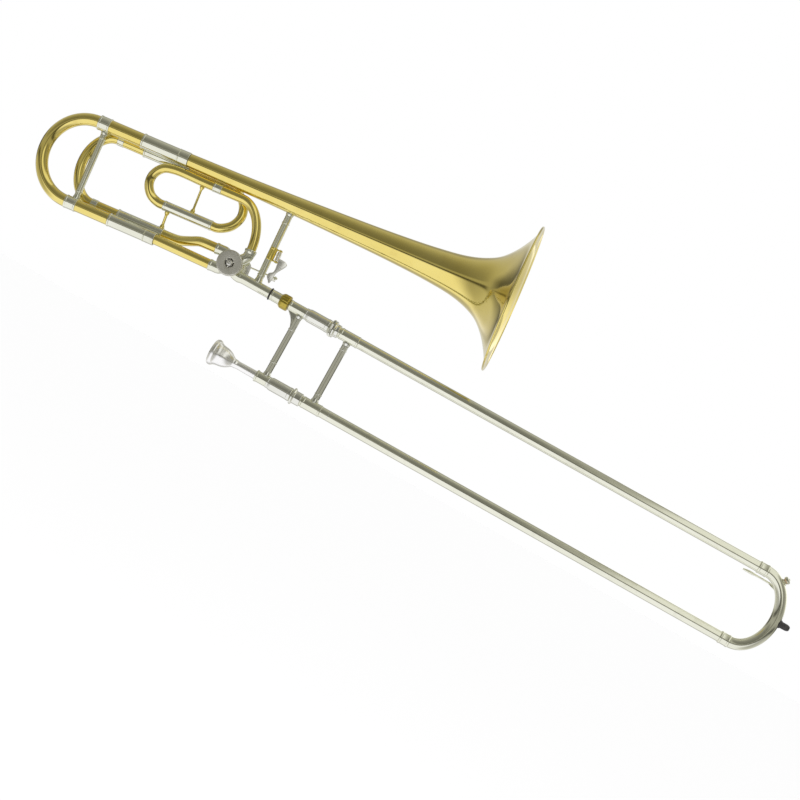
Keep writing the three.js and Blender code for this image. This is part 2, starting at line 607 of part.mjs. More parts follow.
for (const [side, z] of [["upper", 0], ["lower", LOWER_Z]]) {
  const place = [0, 0, z];
  const ringFrom = side === "upper" ? SLIDE_RING.from : BARREL.to + GAP;
  add(trombone, `outer_tube_${side}`,
    tube(OUTER_TUBE.from, OUTER_TUBE.to, OUTER_TUBE.outer, OUTER_TUBE.inner), "nickel", place);
  add(trombone, `outer_ring_${side}`, hollow(
    [[ringFrom, SLIDE_RING.outer], [SLIDE_RING.flangeTo, SLIDE_RING.outer],
      [SLIDE_RING.flangeTo, SLIDE_RING.collar], [SLIDE_RING.to, SLIDE_RING.collar]],
    [[ringFrom, SLIDE_RING.inner], [SLIDE_RING.to, SLIDE_RING.inner]],
  ), "chrome", place);
}

function handBrace() {
  const tubeRoom = OUTER_TUBE.outer + GAP;
  const sleeveAt = (z) => rod(HAND_BRACE.sleeveFrom, HAND_BRACE.sleeveTo, HAND_BRACE.sleeve).translate(0, 0, z);
  const boreAt = (z) => rod(HAND_BRACE.sleeveFrom - 1, HAND_BRACE.sleeveTo + 1, tubeRoom).translate(0, 0, z);
  const post = turned([
    [LOWER_Z, 0], [LOWER_Z, 5.8], [-80, 5.2], [-77, HAND_BRACE.r], [-29, HAND_BRACE.r], [-26, 5.2], [0, 5.8], [0, 0],
  ], 12).rotateY(-Math.PI / 2).translate(HAND_BRACE.x, 0, 0);
  return cut(join(post, sleeveAt(0), sleeveAt(LOWER_Z)), boreAt(0), boreAt(LOWER_Z));
}

add(trombone, "hand_brace", handBrace(), "chrome");

const crownMiddle = LOWER_Z / 2;
const crownHalf = -crownMiddle;

// A point out from the crown's axis at the drain, at a distance along the tube's outward normal.
function atNipple(distance, y = 0) {
  const normal = new THREE.Vector2(
    Math.sin(NIPPLE_ANGLE) / CROWN.depth, Math.cos(NIPPLE_ANGLE) / crownHalf,
  ).normalize();
  return new THREE.Vector3(
    CROWN.x + CROWN.depth * Math.sin(NIPPLE_ANGLE) + normal.x * distance,
    y,
    crownMiddle + crownHalf * Math.cos(NIPPLE_ANGLE) + normal.y * distance,
  );
}

function crown() {
  const bow = bent(new EllipseArc({
    x: CROWN.x, z: crownMiddle, rx: CROWN.depth, rz: crownHalf, start: 0, end: 180,
  }), 13, CROWN.outer, CROWN.inner);
  const ferrules = [0, LOWER_Z].map((z) =>
    tube(OUTER_TUBE.to + GAP, CROWN.x + 0.6, CROWN.ferrule, CROWN.inner).translate(0, 0, z));
  const nipple = aim(rod(0, 2.4, 3.6, 10), atNipple(CROWN.outer - 0.9), atNipple(20));
  const drain = aim(rod(0, 8, 1.6, 8), atNipple(4), atNipple(20));
  return cut(join(bow, ...ferrules, nipple), drain);
}

add(trombone, "crown", crown(), "nickel");
add(trombone, "crown_bumper", turned([
  [BUMPER.from, 0], [BUMPER.from, BUMPER.r + 0.6], [BUMPER.from + 2, BUMPER.r], [BUMPER.to - 1.4, BUMPER.r],
  [BUMPER.to, BUMPER.tip], [BUMPER.to, 0],
]), "rubber", [0, 0, crownMiddle]);

// ---- water key ---------------------------------------------------------------------

const padFrom = CROWN.outer + 1.5 + GAP;
const cupFrom = padFrom + 1.7 + GAP;

function waterKey() {
  const middle = atNipple(cupFrom + 2.4);
  const cup = aim(rod(0, 2.8, 5.2, 12), atNipple(cupFrom), atNipple(20));
  const across = block([middle.x - 1.9, -1, middle.z - 1.3], [middle.x + 1.9, KEY_PLANE.to, middle.z + 1.3]);
  const pivot = [KEY_PIVOT.x, KEY_PIVOT.z];
  const elbow = [744.8, -12.4];
  const side = bar([middle.x, middle.z + 1.4], pivot, 3.4, KEY_PLANE.from, KEY_PLANE.to);
  const inner = bar(pivot, elbow, 3.2, KEY_PLANE.from, KEY_PLANE.to);
  const finger = bar([elbow[0] + 1.2, elbow[1]], [706.1, elbow[1]], 3, KEY_PLANE.from, KEY_PLANE.to);
  const hub = alongY(rod(KEY_PLANE.from - 1, KEY_PLANE.to + 1, 2.9, 12), ...pivot);
  const bore = alongY(rod(0, 20, 1.5, 12), ...pivot);
  return cut(join(cup, across, side, inner, finger, hub), bore);
}

function waterKeyPost() {
  const foot = alongY(rod(CROWN.outer + 0.2, CROWN.outer + 0.8, 3.2, 10), KEY_PIVOT.x, KEY_PIVOT.z);
  const screw = alongY(rod(CROWN.outer + 0.2, KEY_PLANE.to + 3.2, 1.2, 12), KEY_PIVOT.x, KEY_PIVOT.z);
  const head = alongY(rod(KEY_PLANE.to + 1.4, KEY_PLANE.to + 3.2, 2.4, 12), KEY_PIVOT.x, KEY_PIVOT.z);
  return join(foot, screw, head);
}

add(trombone, "water_key", waterKey(), "nickel");
add(trombone, "water_key_pad", aim(rod(0, 1.7, 3.8, 12), atNipple(padFrom), atNipple(20)), "cork");
add(trombone, "water_key_post", waterKeyPost(), "nickel");

// ---- mouthpiece ---------------------------------------------------------------------

function mouthpiece() {
  const { front, tip, rim } = MOUTHPIECE;
  return hollow(
    [[front, 15.2], [front + 1.2, 17.2], [front + 4, rim], [front + 7.5, 18.2], [front + 10.5, 15.8],
      [front + 13, 14], [-31, 10.6], [-23.5, 6.4], [-19, 5.6], [12.5, 6.05], [tip, 5.6]],
    [[front, 13.6], [front + 1.2, 12.6], [front + 8, 12], [front + 16, 9.6], [front + 23, 5.4], [-29, 3.4],
      [-20, 3.6], [tip, 4.9]],
  );
}

add(trombone, "mouthpiece", mouthpiece(), "silver", [0, 0, LOWER_Z]);

export default trombone;
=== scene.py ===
import math

import bmesh
import bpy
from mathutils import Matrix, Vector


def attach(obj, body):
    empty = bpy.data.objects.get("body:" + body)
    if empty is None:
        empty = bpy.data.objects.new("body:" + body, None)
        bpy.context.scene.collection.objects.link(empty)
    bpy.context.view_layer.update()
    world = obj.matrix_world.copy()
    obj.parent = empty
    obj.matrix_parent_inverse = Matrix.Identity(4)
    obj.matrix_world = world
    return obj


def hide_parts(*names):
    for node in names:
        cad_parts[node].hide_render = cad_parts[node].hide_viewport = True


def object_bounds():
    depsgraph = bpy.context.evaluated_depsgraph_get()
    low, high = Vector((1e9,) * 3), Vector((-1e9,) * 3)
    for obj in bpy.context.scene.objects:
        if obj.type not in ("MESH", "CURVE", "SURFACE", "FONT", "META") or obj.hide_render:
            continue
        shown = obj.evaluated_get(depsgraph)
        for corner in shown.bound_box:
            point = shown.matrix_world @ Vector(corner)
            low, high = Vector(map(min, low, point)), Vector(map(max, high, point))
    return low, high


# The trombone's finished surfaces. The pieces are drawn in millimetres, in the frame of the CAD part, and
# become metres when their mesh is made. Textures, the floor, lights and the camera's place are in metres.

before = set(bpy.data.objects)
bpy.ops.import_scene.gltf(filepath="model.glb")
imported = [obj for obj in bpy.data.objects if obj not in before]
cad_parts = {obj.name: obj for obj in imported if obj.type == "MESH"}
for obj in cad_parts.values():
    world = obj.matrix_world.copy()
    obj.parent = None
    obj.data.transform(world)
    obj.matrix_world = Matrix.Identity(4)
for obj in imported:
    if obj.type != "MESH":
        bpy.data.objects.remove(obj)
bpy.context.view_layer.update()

MM = 0.001
BELL_TILT = 5.75
BELL = Matrix.Rotation(math.radians(-BELL_TILT), 4, "Y")
AXIS_TO_Z = Matrix.Rotation(math.radians(-90), 4, "Y")
AXIS_TO_FRONT = Matrix.Rotation(math.radians(-90), 4, "Z")
AXIS_TO_BACK = Matrix.Rotation(math.radians(90), 4, "Z")

LOWER_Z = -105.4
BELL_Z = 125
MAIN_LOW_Z = 8.2
F_Y = 16.5
F_TOP_Z = 114.3
F_LOW_Z = 19.4
LOOP_TOP_Z = 105.6
LOOP_LOW = (7, 55.9)
VALVE = (-88.9, 18.3)
LEVER = (-33.9, 52.5)
LINK_Z = 25.1
LINK_Y = 21.2
LEVER_ARM = 20
LEVER_REST = math.radians(32.86) / 2
CROWN_X = 734.2
CROWN_DEPTH = 39.2


def at(x=0.0, y=0.0, z=0.0):
    return Matrix.Translation((x, y, z))


# ---- materials ----


class Nodes:
    """A material's node tree with short ways to add the nodes used here."""

    def __init__(self, name):
        self.material = bpy.data.materials.new(name)
        self.material.use_nodes = True
        self.tree = self.material.node_tree
        self.shader = self.tree.nodes["Principled BSDF"]
        self.place = self.tree.nodes.new("ShaderNodeTexCoord").outputs["Object"]

    def link(self, output, socket):
        self.tree.links.new(output, socket)

    def noise(self, scale, stretch=(1, 1, 1), detail=3.0, rough=0.5):
        mapping = self.tree.nodes.new("ShaderNodeMapping")
        mapping.inputs["Scale"].default_value = stretch
        self.link(self.place, mapping.inputs["Vector"])
        texture = self.tree.nodes.new("ShaderNodeTexNoise")
        texture.inputs["Scale"].default_value = scale
        texture.inputs["Detail"].default_value = detail
        texture.inputs["Roughness"].default_value = rough
        self.link(mapping.outputs["Vector"], texture.inputs["Vector"])
        return texture.outputs["Fac"]

    def ramp(self, value, *stops):
        node = self.tree.nodes.new("ShaderNodeValToRGB")
        elements = node.color_ramp.elements
        while len(elements) < len(stops):
            elements.new(0.5)
        for element, (position, color) in zip(elements, stops):
            element.position = position
            element.color = (*color, 1) if len(color) == 3 else color
        self.link(value, node.inputs["Fac"])
        return node.outputs["Color"]

    def between(self, value, low, high, new_low, new_high):
        node = self.tree.nodes.new("ShaderNodeMapRange")
        for socket, number in zip(("From Min", "From Max", "To Min", "To Max"),
                                  (low, high, new_low, new_high)):
            node.inputs[socket].default_value = number
        self.link(value, node.inputs["Value"])
        return node.outputs["Result"]

    def mix(self, share, first, second):
        node = self.tree.nodes.new("ShaderNodeMix")
        node.data_type = "RGBA"
        self.link(share, node.inputs["Factor"])
        self.link(first, node.inputs["A"])
        if hasattr(second, "links"):
            self.link(second, node.inputs["B"])
        else:
            node.inputs["B"].default_value = (*second, 1)
        return node.outputs["Result"]

    def bump(self, height, distance, strength=1.0, under=None):
        node = self.tree.nodes.new("ShaderNodeBump")
        node.inputs["Distance"].default_value = distance
        node.inputs["Strength"].default_value = strength
        self.link(height, node.inputs["Height"])
        if under:
            self.link(under, node.inputs["Normal"])
        return node.outputs["Normal"]


STREAKS = {"x": (1, 22, 22), "z": (22, 22, 1), "y": (22, 1, 22), "none": (4, 4, 4)}


def metal(name, pale, deep, stain, rough, coat=0.0, grain="x", marks=0.35):
    """Polished metal: slow changes of tone, a few stains, and polishing marks along the grain."""
    n = Nodes(name)
    tone = n.ramp(n.noise(14, detail=4), (0.32, deep), (0.62, pale))
    stains = n.between(n.noise(46, detail=5, rough=0.62), 0.58, 0.76, 0, 0.4)
    n.link(n.mix(stains, tone, stain), n.shader.inputs["Base Color"])
    lines = n.noise(55, STREAKS[grain], detail=4, rough=0.7)
    n.link(n.between(lines, 0.25, 0.8, rough * 0.7, rough * 1.5), n.shader.inputs["Roughness"])
    waves = n.bump(n.noise(24, detail=1), 0.0003, marks * 0.3)
    n.link(n.bump(lines, 0.00001, marks, waves), n.shader.inputs["Normal"])
    n.shader.inputs["Metallic"].default_value = 1
    n.shader.inputs["Coat Weight"].default_value = coat
    n.shader.inputs["Coat Roughness"].default_value = 0.06
    n.shader.inputs["Coat IOR"].default_value = 1.75
    return n.material


def spun(name, pale, deep, stain, rough, coat, centre, tilt):
    """The bell's metal, with the faint rings left from spinning it."""
    material = metal(name, pale, deep, stain, rough, coat, "none", 0.3)
    tree = material.node_tree
    shader = tree.nodes["Principled BSDF"]
    mapping = tree.nodes.new("ShaderNodeMapping")
    mapping.vector_type = "TEXTURE"
    mapping.inputs["Location"].default_value = centre
    mapping.inputs["Rotation"].default_value = (0, math.radians(-tilt), 0)
    tree.links.new(tree.nodes["Texture Coordinate"].outputs["Object"], mapping.inputs["Vector"])
    rings = tree.nodes.new("ShaderNodeTexNoise")
    rings.inputs["Scale"].default_value = 260
    rings.inputs["Detail"].default_value = 3
    flat = tree.nodes.new("ShaderNodeMapping")
    flat.inputs["Scale"].default_value = (1, 0.004, 0.004)
    tree.links.new(mapping.outputs["Vector"], flat.inputs["Vector"])
    tree.links.new(flat.outputs["Vector"], rings.inputs["Vector"])
    bump = tree.nodes.new("ShaderNodeBump")
    bump.inputs["Distance"].default_value = 0.00006
    bump.inputs["Strength"].default_value = 0.25
    tree.links.new(rings.outputs["Fac"], bump.inputs["Height"])
    tree.links.new(shader.inputs["Normal"].links[0].from_socket, bump.inputs["Normal"])
    tree.links.new(bump.outputs["Normal"], shader.inputs["Normal"])
    return material


def satin_metal():
    """The valve cap: turned face with fine rings about its centre."""
    n = Nodes("satin_nickel")
    mapping = n.tree.nodes.new("ShaderNodeMapping")
    mapping.vector_type = "TEXTURE"
    middle = BELL @ Vector((VALVE[0], 0, VALVE[1])) * MM
    mapping.inputs["Location"].default_value = middle
    n.link(n.place, mapping.inputs["Vector"])
    parts = n.tree.nodes.new("ShaderNodeSeparateXYZ")
    n.link(mapping.outputs["Vector"], parts.inputs["Vector"])
    flat = n.tree.nodes.new("ShaderNodeCombineXYZ")
    n.link(parts.outputs["X"], flat.inputs["X"])
    n.link(parts.outputs["Z"], flat.inputs["Z"])
    length = n.tree.nodes.new("ShaderNodeVectorMath")
    length.operation = "LENGTH"
    n.link(flat.outputs["Vector"], length.inputs[0])
    radius = n.tree.nodes.new("ShaderNodeTexNoise")
    radius.noise_dimensions = "1D"
    radius.inputs["Scale"].default_value = 2600
    radius.inputs["Detail"].default_value = 4
    n.link(length.outputs["Value"], radius.inputs["W"])
    rings = radius.outputs["Fac"]
    tone = n.ramp(n.noise(120, detail=5), (0.3, (0.66, 0.645, 0.54)), (0.7, (0.76, 0.745, 0.64)))
    n.link(tone, n.shader.inputs["Base Color"])
    n.link(n.between(rings, 0.2, 0.8, 0.32, 0.48), n.shader.inputs["Roughness"])
    grit = n.bump(n.noise(1400, detail=2), 0.000012, 0.4)
    n.link(n.bump(rings, 0.00002, 0.5, grit), n.shader.inputs["Normal"])
    n.shader.inputs["Metallic"].default_value = 1
    return n.material


def rubber():
    n = Nodes("black_rubber")
    tone = n.ramp(n.noise(220, detail=6, rough=0.65), (0.35, (0.012, 0.011, 0.010)),
                  (0.75, (0.045, 0.042, 0.037)))
    n.link(tone, n.shader.inputs["Base Color"])
    n.link(n.between(n.noise(700), 0.3, 0.7, 0.42, 0.62), n.shader.inputs["Roughness"])
    n.link(n.bump(n.noise(1800, detail=4), 0.00008, 0.5), n.shader.inputs["Normal"])
    return n.material


def cork():
    n = Nodes("cork")
    grains = n.tree.nodes.new("ShaderNodeTexVoronoi")
    grains.inputs["Scale"].default_value = 1100
    n.link(n.place, grains.inputs["Vector"])
    tone = n.ramp(grains.outputs["Distance"], (0.0, (0.30, 0.17, 0.08)), (0.5, (0.56, 0.38, 0.20)))
    n.link(tone, n.shader.inputs["Base Color"])
    n.link(n.bump(grains.outputs["Distance"], 0.0002, 0.6), n.shader.inputs["Normal"])
    n.shader.inputs["Roughness"].default_value = 0.85
    return n.material


BRASS_TONES = ((0.84, 0.69, 0.165), (0.80, 0.64, 0.125), (0.60, 0.44, 0.07))
NICKEL_TONES = ((0.82, 0.82, 0.65), (0.77, 0.77, 0.60), (0.58, 0.565, 0.42))
CHROME_TONES = ((0.82, 0.82, 0.71), (0.77, 0.77, 0.655), (0.60, 0.59, 0.49))
SILVER_TONES = ((0.97, 0.962, 0.885), (0.94, 0.93, 0.85), (0.82, 0.80, 0.70))
NUT_TONES = ((0.50, 0.385, 0.045), (0.40, 0.30, 0.03), (0.26, 0.19, 0.02))
bell_centre = BELL @ Vector((0, 0, BELL_Z)) * MM

MATERIALS = {
    "bell_brass": (spun("bell_brass", *BRASS_TONES, 0.09, 0.9, bell_centre, BELL_TILT), "lacquered_brass"),
    "brass": (metal("lacquered_brass", *BRASS_TONES, 0.09, 0.9, "x"), "lacquered_brass"),
    "small_brass": (metal("small_brass", *BRASS_TONES, 0.14, 0.6, "z", 0.5), "lacquered_brass"),
    "nut_brass": (metal("nut_brass", *NUT_TONES, 0.26, 0.4, "x", 0.5), "nut_brass"),
    "nickel": (metal("nickel_silver", *NICKEL_TONES, 0.11, 0.2, "x", 0.2), "nickel_silver"),
    "nickel_post": (metal("nickel_post", *NICKEL_TONES, 0.14, 0.2, "z"), "nickel_silver"),
    "chrome": (metal("chrome", *CHROME_TONES, 0.08, 0.0, "x", 0.2), "chrome"),
    "chrome_post": (metal("chrome_post", *CHROME_TONES, 0.09, 0.0, "z", 0.2), "chrome"),
    "silver": (metal("silver_plate", *SILVER_TONES, 0.24, 0.0, "none", 0.15), "silver_plate"),
    "satin": (satin_metal(), "satin_nickel"),
    "rubber": (rubber(), "black_rubber"),
    "cork": (cork(), "cork"),
}


# ---- mesh helpers ----


def piece(name, parts, material, body, *replaced, sharp=32):
    """One object from a list of (vertices, faces) in millimetres, riding on a body."""
    vertices, faces = [], []
    for part_vertices, part_faces in parts:
        first = len(vertices)
        vertices.extend(v * MM for v in part_vertices)
        faces.extend([i + first for i in face] for face in part_faces)
    mesh = bpy.data.meshes.new(name)
    mesh.from_pydata(vertices, [], faces)
    mesh.update()
    tidy = bmesh.new()
    tidy.from_mesh(mesh)
    bmesh.ops.remove_doubles(tidy, verts=tidy.verts, dist=2e-6)
    bmesh.ops.recalc_face_normals(tidy, faces=tidy.faces)
    tidy.to_mesh(mesh)
    tidy.free()
    mesh.shade_smooth()
    mesh.set_sharp_from_angle(angle=math.radians(sharp))
    thing = bpy.data.objects.new(name, mesh)
    bpy.context.scene.collection.objects.link(thing)
    shader, slot = MATERIALS[material]
    mesh.materials.append(shader)
    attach(thing, body)
    if replaced:
        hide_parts(*replaced)
    return thing


def moved(part, matrix):
    return [matrix @ v for v in part[0]], part[1]


def softened(outline, radius, closed=False):
    """The outline with each corner rounded off by up to the radius."""
    points = [Vector(p) for p in outline]
    result = []
    count = len(points)
    for i, point in enumerate(points):
        if not closed and i in (0, count - 1):
            result.append(point)
            continue
        before, after = points[i - 1], points[(i + 1) % count]
        back, on = before - point, after - point
        if back.length < 1e-6 or on.length < 1e-6:
            continue
        turn = math.pi - back.angle(on)
        if turn < math.radians(14):
            result.append(point)
            continue
        reach = min(radius, back.length * 0.45, on.length * 0.45)
        start, end = point + back.normalized() * reach, point + on.normalized() * reach
        for step in range(5):
            t = step / 4
            result.append(start * (1 - t) ** 2 + point * 2 * t * (1 - t) + end * t * t)
    return result


def turned(outline, radius=0.35, sides=64):
    """A solid turned about X. The outline is (along, radius) from axis to axis."""
    points = softened(outline, radius)
    vertices, rings = [], []
    for along, r in points:
        if r < 1e-6:
            rings.append([len(vertices)])
            vertices.append(Vector((along, 0, 0)))
            continue
        rings.append(range(len(vertices), len(vertices) + sides))
        for k in range(sides):
            angle = 2 * math.pi * k / sides
            vertices.append(Vector((along, r * math.cos(angle), r * math.sin(angle))))
    return vertices, ring_faces(rings, sides)


def ring_faces(rings, sides, closed=False):
    faces = []
    pairs = list(zip(rings, rings[1:]))
    if closed:
        pairs.append((rings[-1], rings[0]))
    for first, second in pairs:
        for k in range(sides):
            j = (k + 1) % sides
            if len(first) == 1:
                faces.append([first[0], second[j], second[k]])
            elif len(second) == 1:
                faces.append([first[k], first[j], second[0]])
            else:
                faces.append([first[k], first[j], second[j], second[k]])
    return faces


def revolved(outline, sides, size=lambda r, angle: r):
    """A closed outline of points (along, radius) turned about X. The size may change with the angle."""
    vertices = []
    for point in outline:
        for angle in (2 * math.pi * k / sides for k in range(sides)):
            r = size(point[1], angle)
            vertices.append(Vector((point[0], r * math.cos(angle), r * math.sin(angle))))
    rings = [range(i * sides, (i + 1) * sides) for i in range(len(outline))]
    return vertices, ring_faces(rings, sides, closed=True)


def hollow(outer, inner, radius=0.35, sides=64):
    """A ring or tube turned about X, from an outer and an inner outline that run the same way."""
    return revolved(softened(list(outer) + list(reversed(inner)), radius, closed=True), sides)


def tube(start, end, outer, bore, radius=0.35, sides=64):
    return hollow([(start, outer), (end, outer)], [(start, bore), (end, bore)], radius, sides)


def cylinder(start, end, radius, edge, sides):
    return turned([(start, 0), (start, radius), (end, radius), (end, 0)], edge, sides)


def bead(middle, half, radius, edge, sides=48):
    """A raised band round a post, turned about X."""
    return cylinder(middle - half, middle + half, radius, edge, sides)


def beaded(start, end, steps, edge, raised, body):
    """The outline of a band with a raised bead at each end. The steps lead in from the end to the body."""
    heights = (raised, raised, body)
    lead = [(start, edge), *((start + step, r) for step, r in zip(steps, heights))]
    return lead + [(start + end - along, r) for along, r in reversed(lead)]


def clip(outline, middle, reach, radius=0.35, steps=40):
    """A part of a ring turned about X: a closed outline swept to both sides of the middle angle."""
    points = softened(outline, radius, closed=True)
    count = len(points)
    angles = [math.radians(middle + reach * (2 * k / steps - 1)) for k in range(steps + 1)]
    vertices = [Vector((p.x, p.y * math.cos(a), p.y * math.sin(a))) for a in angles for p in points]
    faces = [
        [k * count + i, k * count + (i + 1) % count, (k + 1) * count + (i + 1) % count, (k + 1) * count + i]
        for k in range(steps)
        for i in range(count)
    ]
    return vertices, [*faces, list(range(count)), list(reversed(range(steps * count, (steps + 1) * count)))]


def spline(*points, spacing=1.6):
    """A smooth curve through the points, as points at even distances."""
    p = [Vector(q).to_3d() for q in points]
    p = [2 * p[0] - p[1], *p, 2 * p[-1] - p[-2]]
    dense = []
    for a, b, c, d in zip(p, p[1:], p[2:], p[3:]):
        k0, k1, k2 = (max((v - u).length ** 0.5, 1e-6) for u, v in ((a, b), (b, c), (c, d)))
        t1 = ((b - a) / k0 - (c - a) / (k0 + k1) + (c - b) / k1) * k1
        t2 = ((c - b) / k1 - (d - b) / (k1 + k2) + (d - c) / k2) * k1
        for i in range(24):
            t = i / 24
            dense.append(b + t1 * t + (3 * (c - b) - 2 * t1 - t2) * t * t + (2 * (b - c) + t1 + t2) * t ** 3)
    dense.append(p[-2])
    return even(dense, spacing)


def even(points, spacing):
    total = sum((b - a).length for a, b in zip(points, points[1:]))
    count = max(2, round(total / spacing))
    result, walked, i = [points[0]], 0.0, 0
    for step in range(1, count):
        target = total * step / count
        while walked + (points[i + 1] - points[i]).length < target:
            walked += (points[i + 1] - points[i]).length
            i += 1
        result.append(points[i].lerp(points[i + 1], (target - walked) / (points[i + 1] - points[i]).length))
    return [*result, points[-1]]


def ellipse(x, y, z, rx, rz, start, end, steps=90):
    """Points on an ellipse in the XZ plane; 0 degrees is +Z and 90 is +X."""
    angles = [math.radians(start + (end - start) * k / steps) for k in range(steps + 1)]
    return [Vector((x + rx * math.sin(a), y, z + rz * math.cos(a))) for a in angles]


def sweep(path, radius, bore=0.0, sides=48):
    """A round rod or tube along the path. The radius is a number or a function of the share of the length."""
    size = radius if callable(radius) else (lambda share: radius)
    inner = bore if callable(bore) else (lambda share: bore)
    last = len(path) - 1
    tangents = [(path[min(i + 1, last)] - path[max(i - 1, 0)]).normalized() for i in range(last + 1)]
    side = tangents[0].orthogonal().normalized()
    outer_rings, inner_rings, vertices = [], [], []
    for i, (point, tangent) in enumerate(zip(path, tangents)):
        side = (side - tangent * side.dot(tangent)).normalized()
        up = tangent.cross(side)
        share = i / last
        for rings, r in ((outer_rings, size(share)), (inner_rings, inner(share))):
            if r <= 0:
                continue
            rings.append(range(len(vertices), len(vertices) + sides))
            for k in range(sides):
                angle = 2 * math.pi * k / sides
                vertices.append(point + side * (r * math.cos(angle)) + up * (r * math.sin(angle)))
    if inner_rings:
        return vertices, ring_faces([*outer_rings, *reversed(inner_rings)], sides, closed=True)
    faces = ring_faces(outer_rings, sides)
    return vertices, [*faces, list(outer_rings[0]), list(reversed(outer_rings[-1]))]


def along(start, end):
    """The matrix that lays a piece made along +X from one point towards another."""
    start, end = Vector(start), Vector(end)
    return at(*start) @ (end - start).to_track_quat("X", "Z").to_matrix().to_4x4()


def slab(outline, low, high, edge=0.3, segments=3):
    """A flat plate with rounded edges: an outline in XZ and a thickness in Y."""
    shape = bmesh.new()
    rim = [shape.verts.new((x, low, z)) for x, z in outline]
    face = shape.faces.new(rim)
    lifted = bmesh.ops.extrude_face_region(shape, geom=[face])
    top = [v for v in lifted["geom"] if isinstance(v, bmesh.types.BMVert)]
    bmesh.ops.translate(shape, verts=top, vec=(0, high - low, 0))
    shape.normal_update()
    edges = {e for f in shape.faces if abs(f.normal.y) > 0.9 for e in f.edges}
    if edge:
        bmesh.ops.bevel(shape, geom=list(edges), offset=edge, segments=segments, profile=0.5, affect="EDGES")
    shape.verts.index_update()
    made = [v.co.copy() for v in shape.verts], [[v.index for v in f.verts] for f in shape.faces]
    shape.free()
    return made


def smooth_outline(*points, spacing=0.6):
    """A closed smooth outline in XZ through the points."""
    p = [Vector((x, 0, z)) for x, z in points]
    whole = spline(*p[-2:], *p, *p[:2], spacing=spacing)
    start = min(range(len(whole) // 2), key=lambda i: (whole[i] - p[0]).length)
    end = min(range(len(whole) // 2, len(whole)), key=lambda i: (whole[i] - p[0]).length)
    return [(v.x, v.z) for v in whole[start:end]]


def round_outline(radius, sides=48, middle=(0, 0), lobes=0, lobe=0.0):
    angles = [2 * math.pi * k / sides for k in range(sides)]
    return [
        (middle[0] + (radius + lobe * math.cos(lobes * a)) * math.cos(a),
         middle[1] + (radius + lobe * math.cos(lobes * a)) * math.sin(a))
        for a in angles
    ]


def slotted_screw(radius, height, slot=0.7):
    """A screw head turned about X with its top at +X: a disc and two halves beside the slot."""
    halves = []
    for side in (1, -1):
        reach = math.acos(slot / 2 / radius)
        arc = [reach * (k / 12 - 1) for k in range(25)]
        shape = [(side * radius * math.cos(a), radius * math.sin(a)) for a in arc]
        halves.append(moved(slab(shape, height * 0.45, height, 0.15, 2), AXIS_TO_FRONT))
    base = cylinder(-0.5, height * 0.5, radius, 0.1, 32)
    return [base, *halves]


def foot(start, end, waist, flare, reach, seats, radius=0.8):
    """A post between two tubes along X, with a small foot at each end shaped to its tube's radius."""
    start, end = Vector(start), Vector(end)
    length = (end - start).length
    outline = [
        (0, 0), (0, flare * 0.5), (0, flare), (reach * 0.45, flare * 0.97), (reach, waist),
        (length - reach, waist), (length - reach * 0.45, flare * 0.97), (length, flare),
        (length, flare * 0.5), (length, 0),
    ]
    vertices, faces = moved(turned(outline, radius, 56), along(start, end))
    axis = (end - start).normalized()
    aside = axis.cross(Vector((1, 0, 0))).normalized()
    for v in vertices:
        for point, inward, seat in ((start, axis, seats[0]), (end, -axis, seats[1])):
            depth = (v - point).dot(inward)
            if depth < reach:
                offset = min(abs((v - point).dot(aside)), seat)
                v -= inward * (1 - max(depth, 0) / reach) * (seat - math.sqrt(seat * seat - offset * offset))
    return vertices, faces


# ---- bell ----

BELL_TAIL = -198.1
FLARE = [
    (BELL_TAIL, 9.75), (-103, 11.3), (0, 14.5), (100, 18.9), (160, 23.4), (201, 29), (225, 36.2), (243, 45.6),
    (258, 60.5), (269, 76.5), (276, 90), (279.4, 101.6),
]


def bell():
    wall = 0.8
    curve = [Vector((p.x, p.y)) for p in spline(*FLARE, spacing=2.2)]
    inside = []
    for i, point in enumerate(curve):
        slope = (curve[min(i + 1, len(curve) - 1)] - curve[max(i - 1, 0)]).normalized()
        inside.append(Vector((point.x + slope.y * wall, point.y - slope.x * wall)))
    centre, roll_radius = Vector((280.0, 102.9)), 1.55
    roll = [
        centre + roll_radius * Vector((math.cos(a), math.sin(a)))
        for a in (math.radians(d) for d in range(222, -61, -18))
    ]
    return revolved([*curve[:-1], *roll, *reversed(inside[:-1])], 160)


piece("bell_flare", [moved(bell(), BELL @ at(z=BELL_Z))], "bell_brass", "bell_section", "bell", sharp=50)

# ---- main tuning slide ----

SLEEVE = (-268.2, -198.6)
FERRULE = (-333.6, -316.6)
MAIN = {
    "top": {"z": BELL_Z, "sleeve": 10.1, "bore": 9.05, "leg": 9.6, "inner": 8.9, "bead": 10.8},
    "bottom": {"z": MAIN_LOW_Z, "sleeve": 8.9, "bore": 7.85, "leg": 8.5, "inner": 7.7, "bead": 9.6},
}


def sleeve_outline(start, end, radius, bead, ferrule, ferrule_from):
    """An outer sleeve with a rounded bead at its open end and a ferrule at the other."""
    return [
        (start, radius), (start + 0.2, bead), (start + 2.0, bead), (start + 2.5, radius),
        (ferrule_from, radius), (ferrule_from + 0.5, ferrule), (end - 0.4, ferrule), (end, radius - 0.2),
    ]


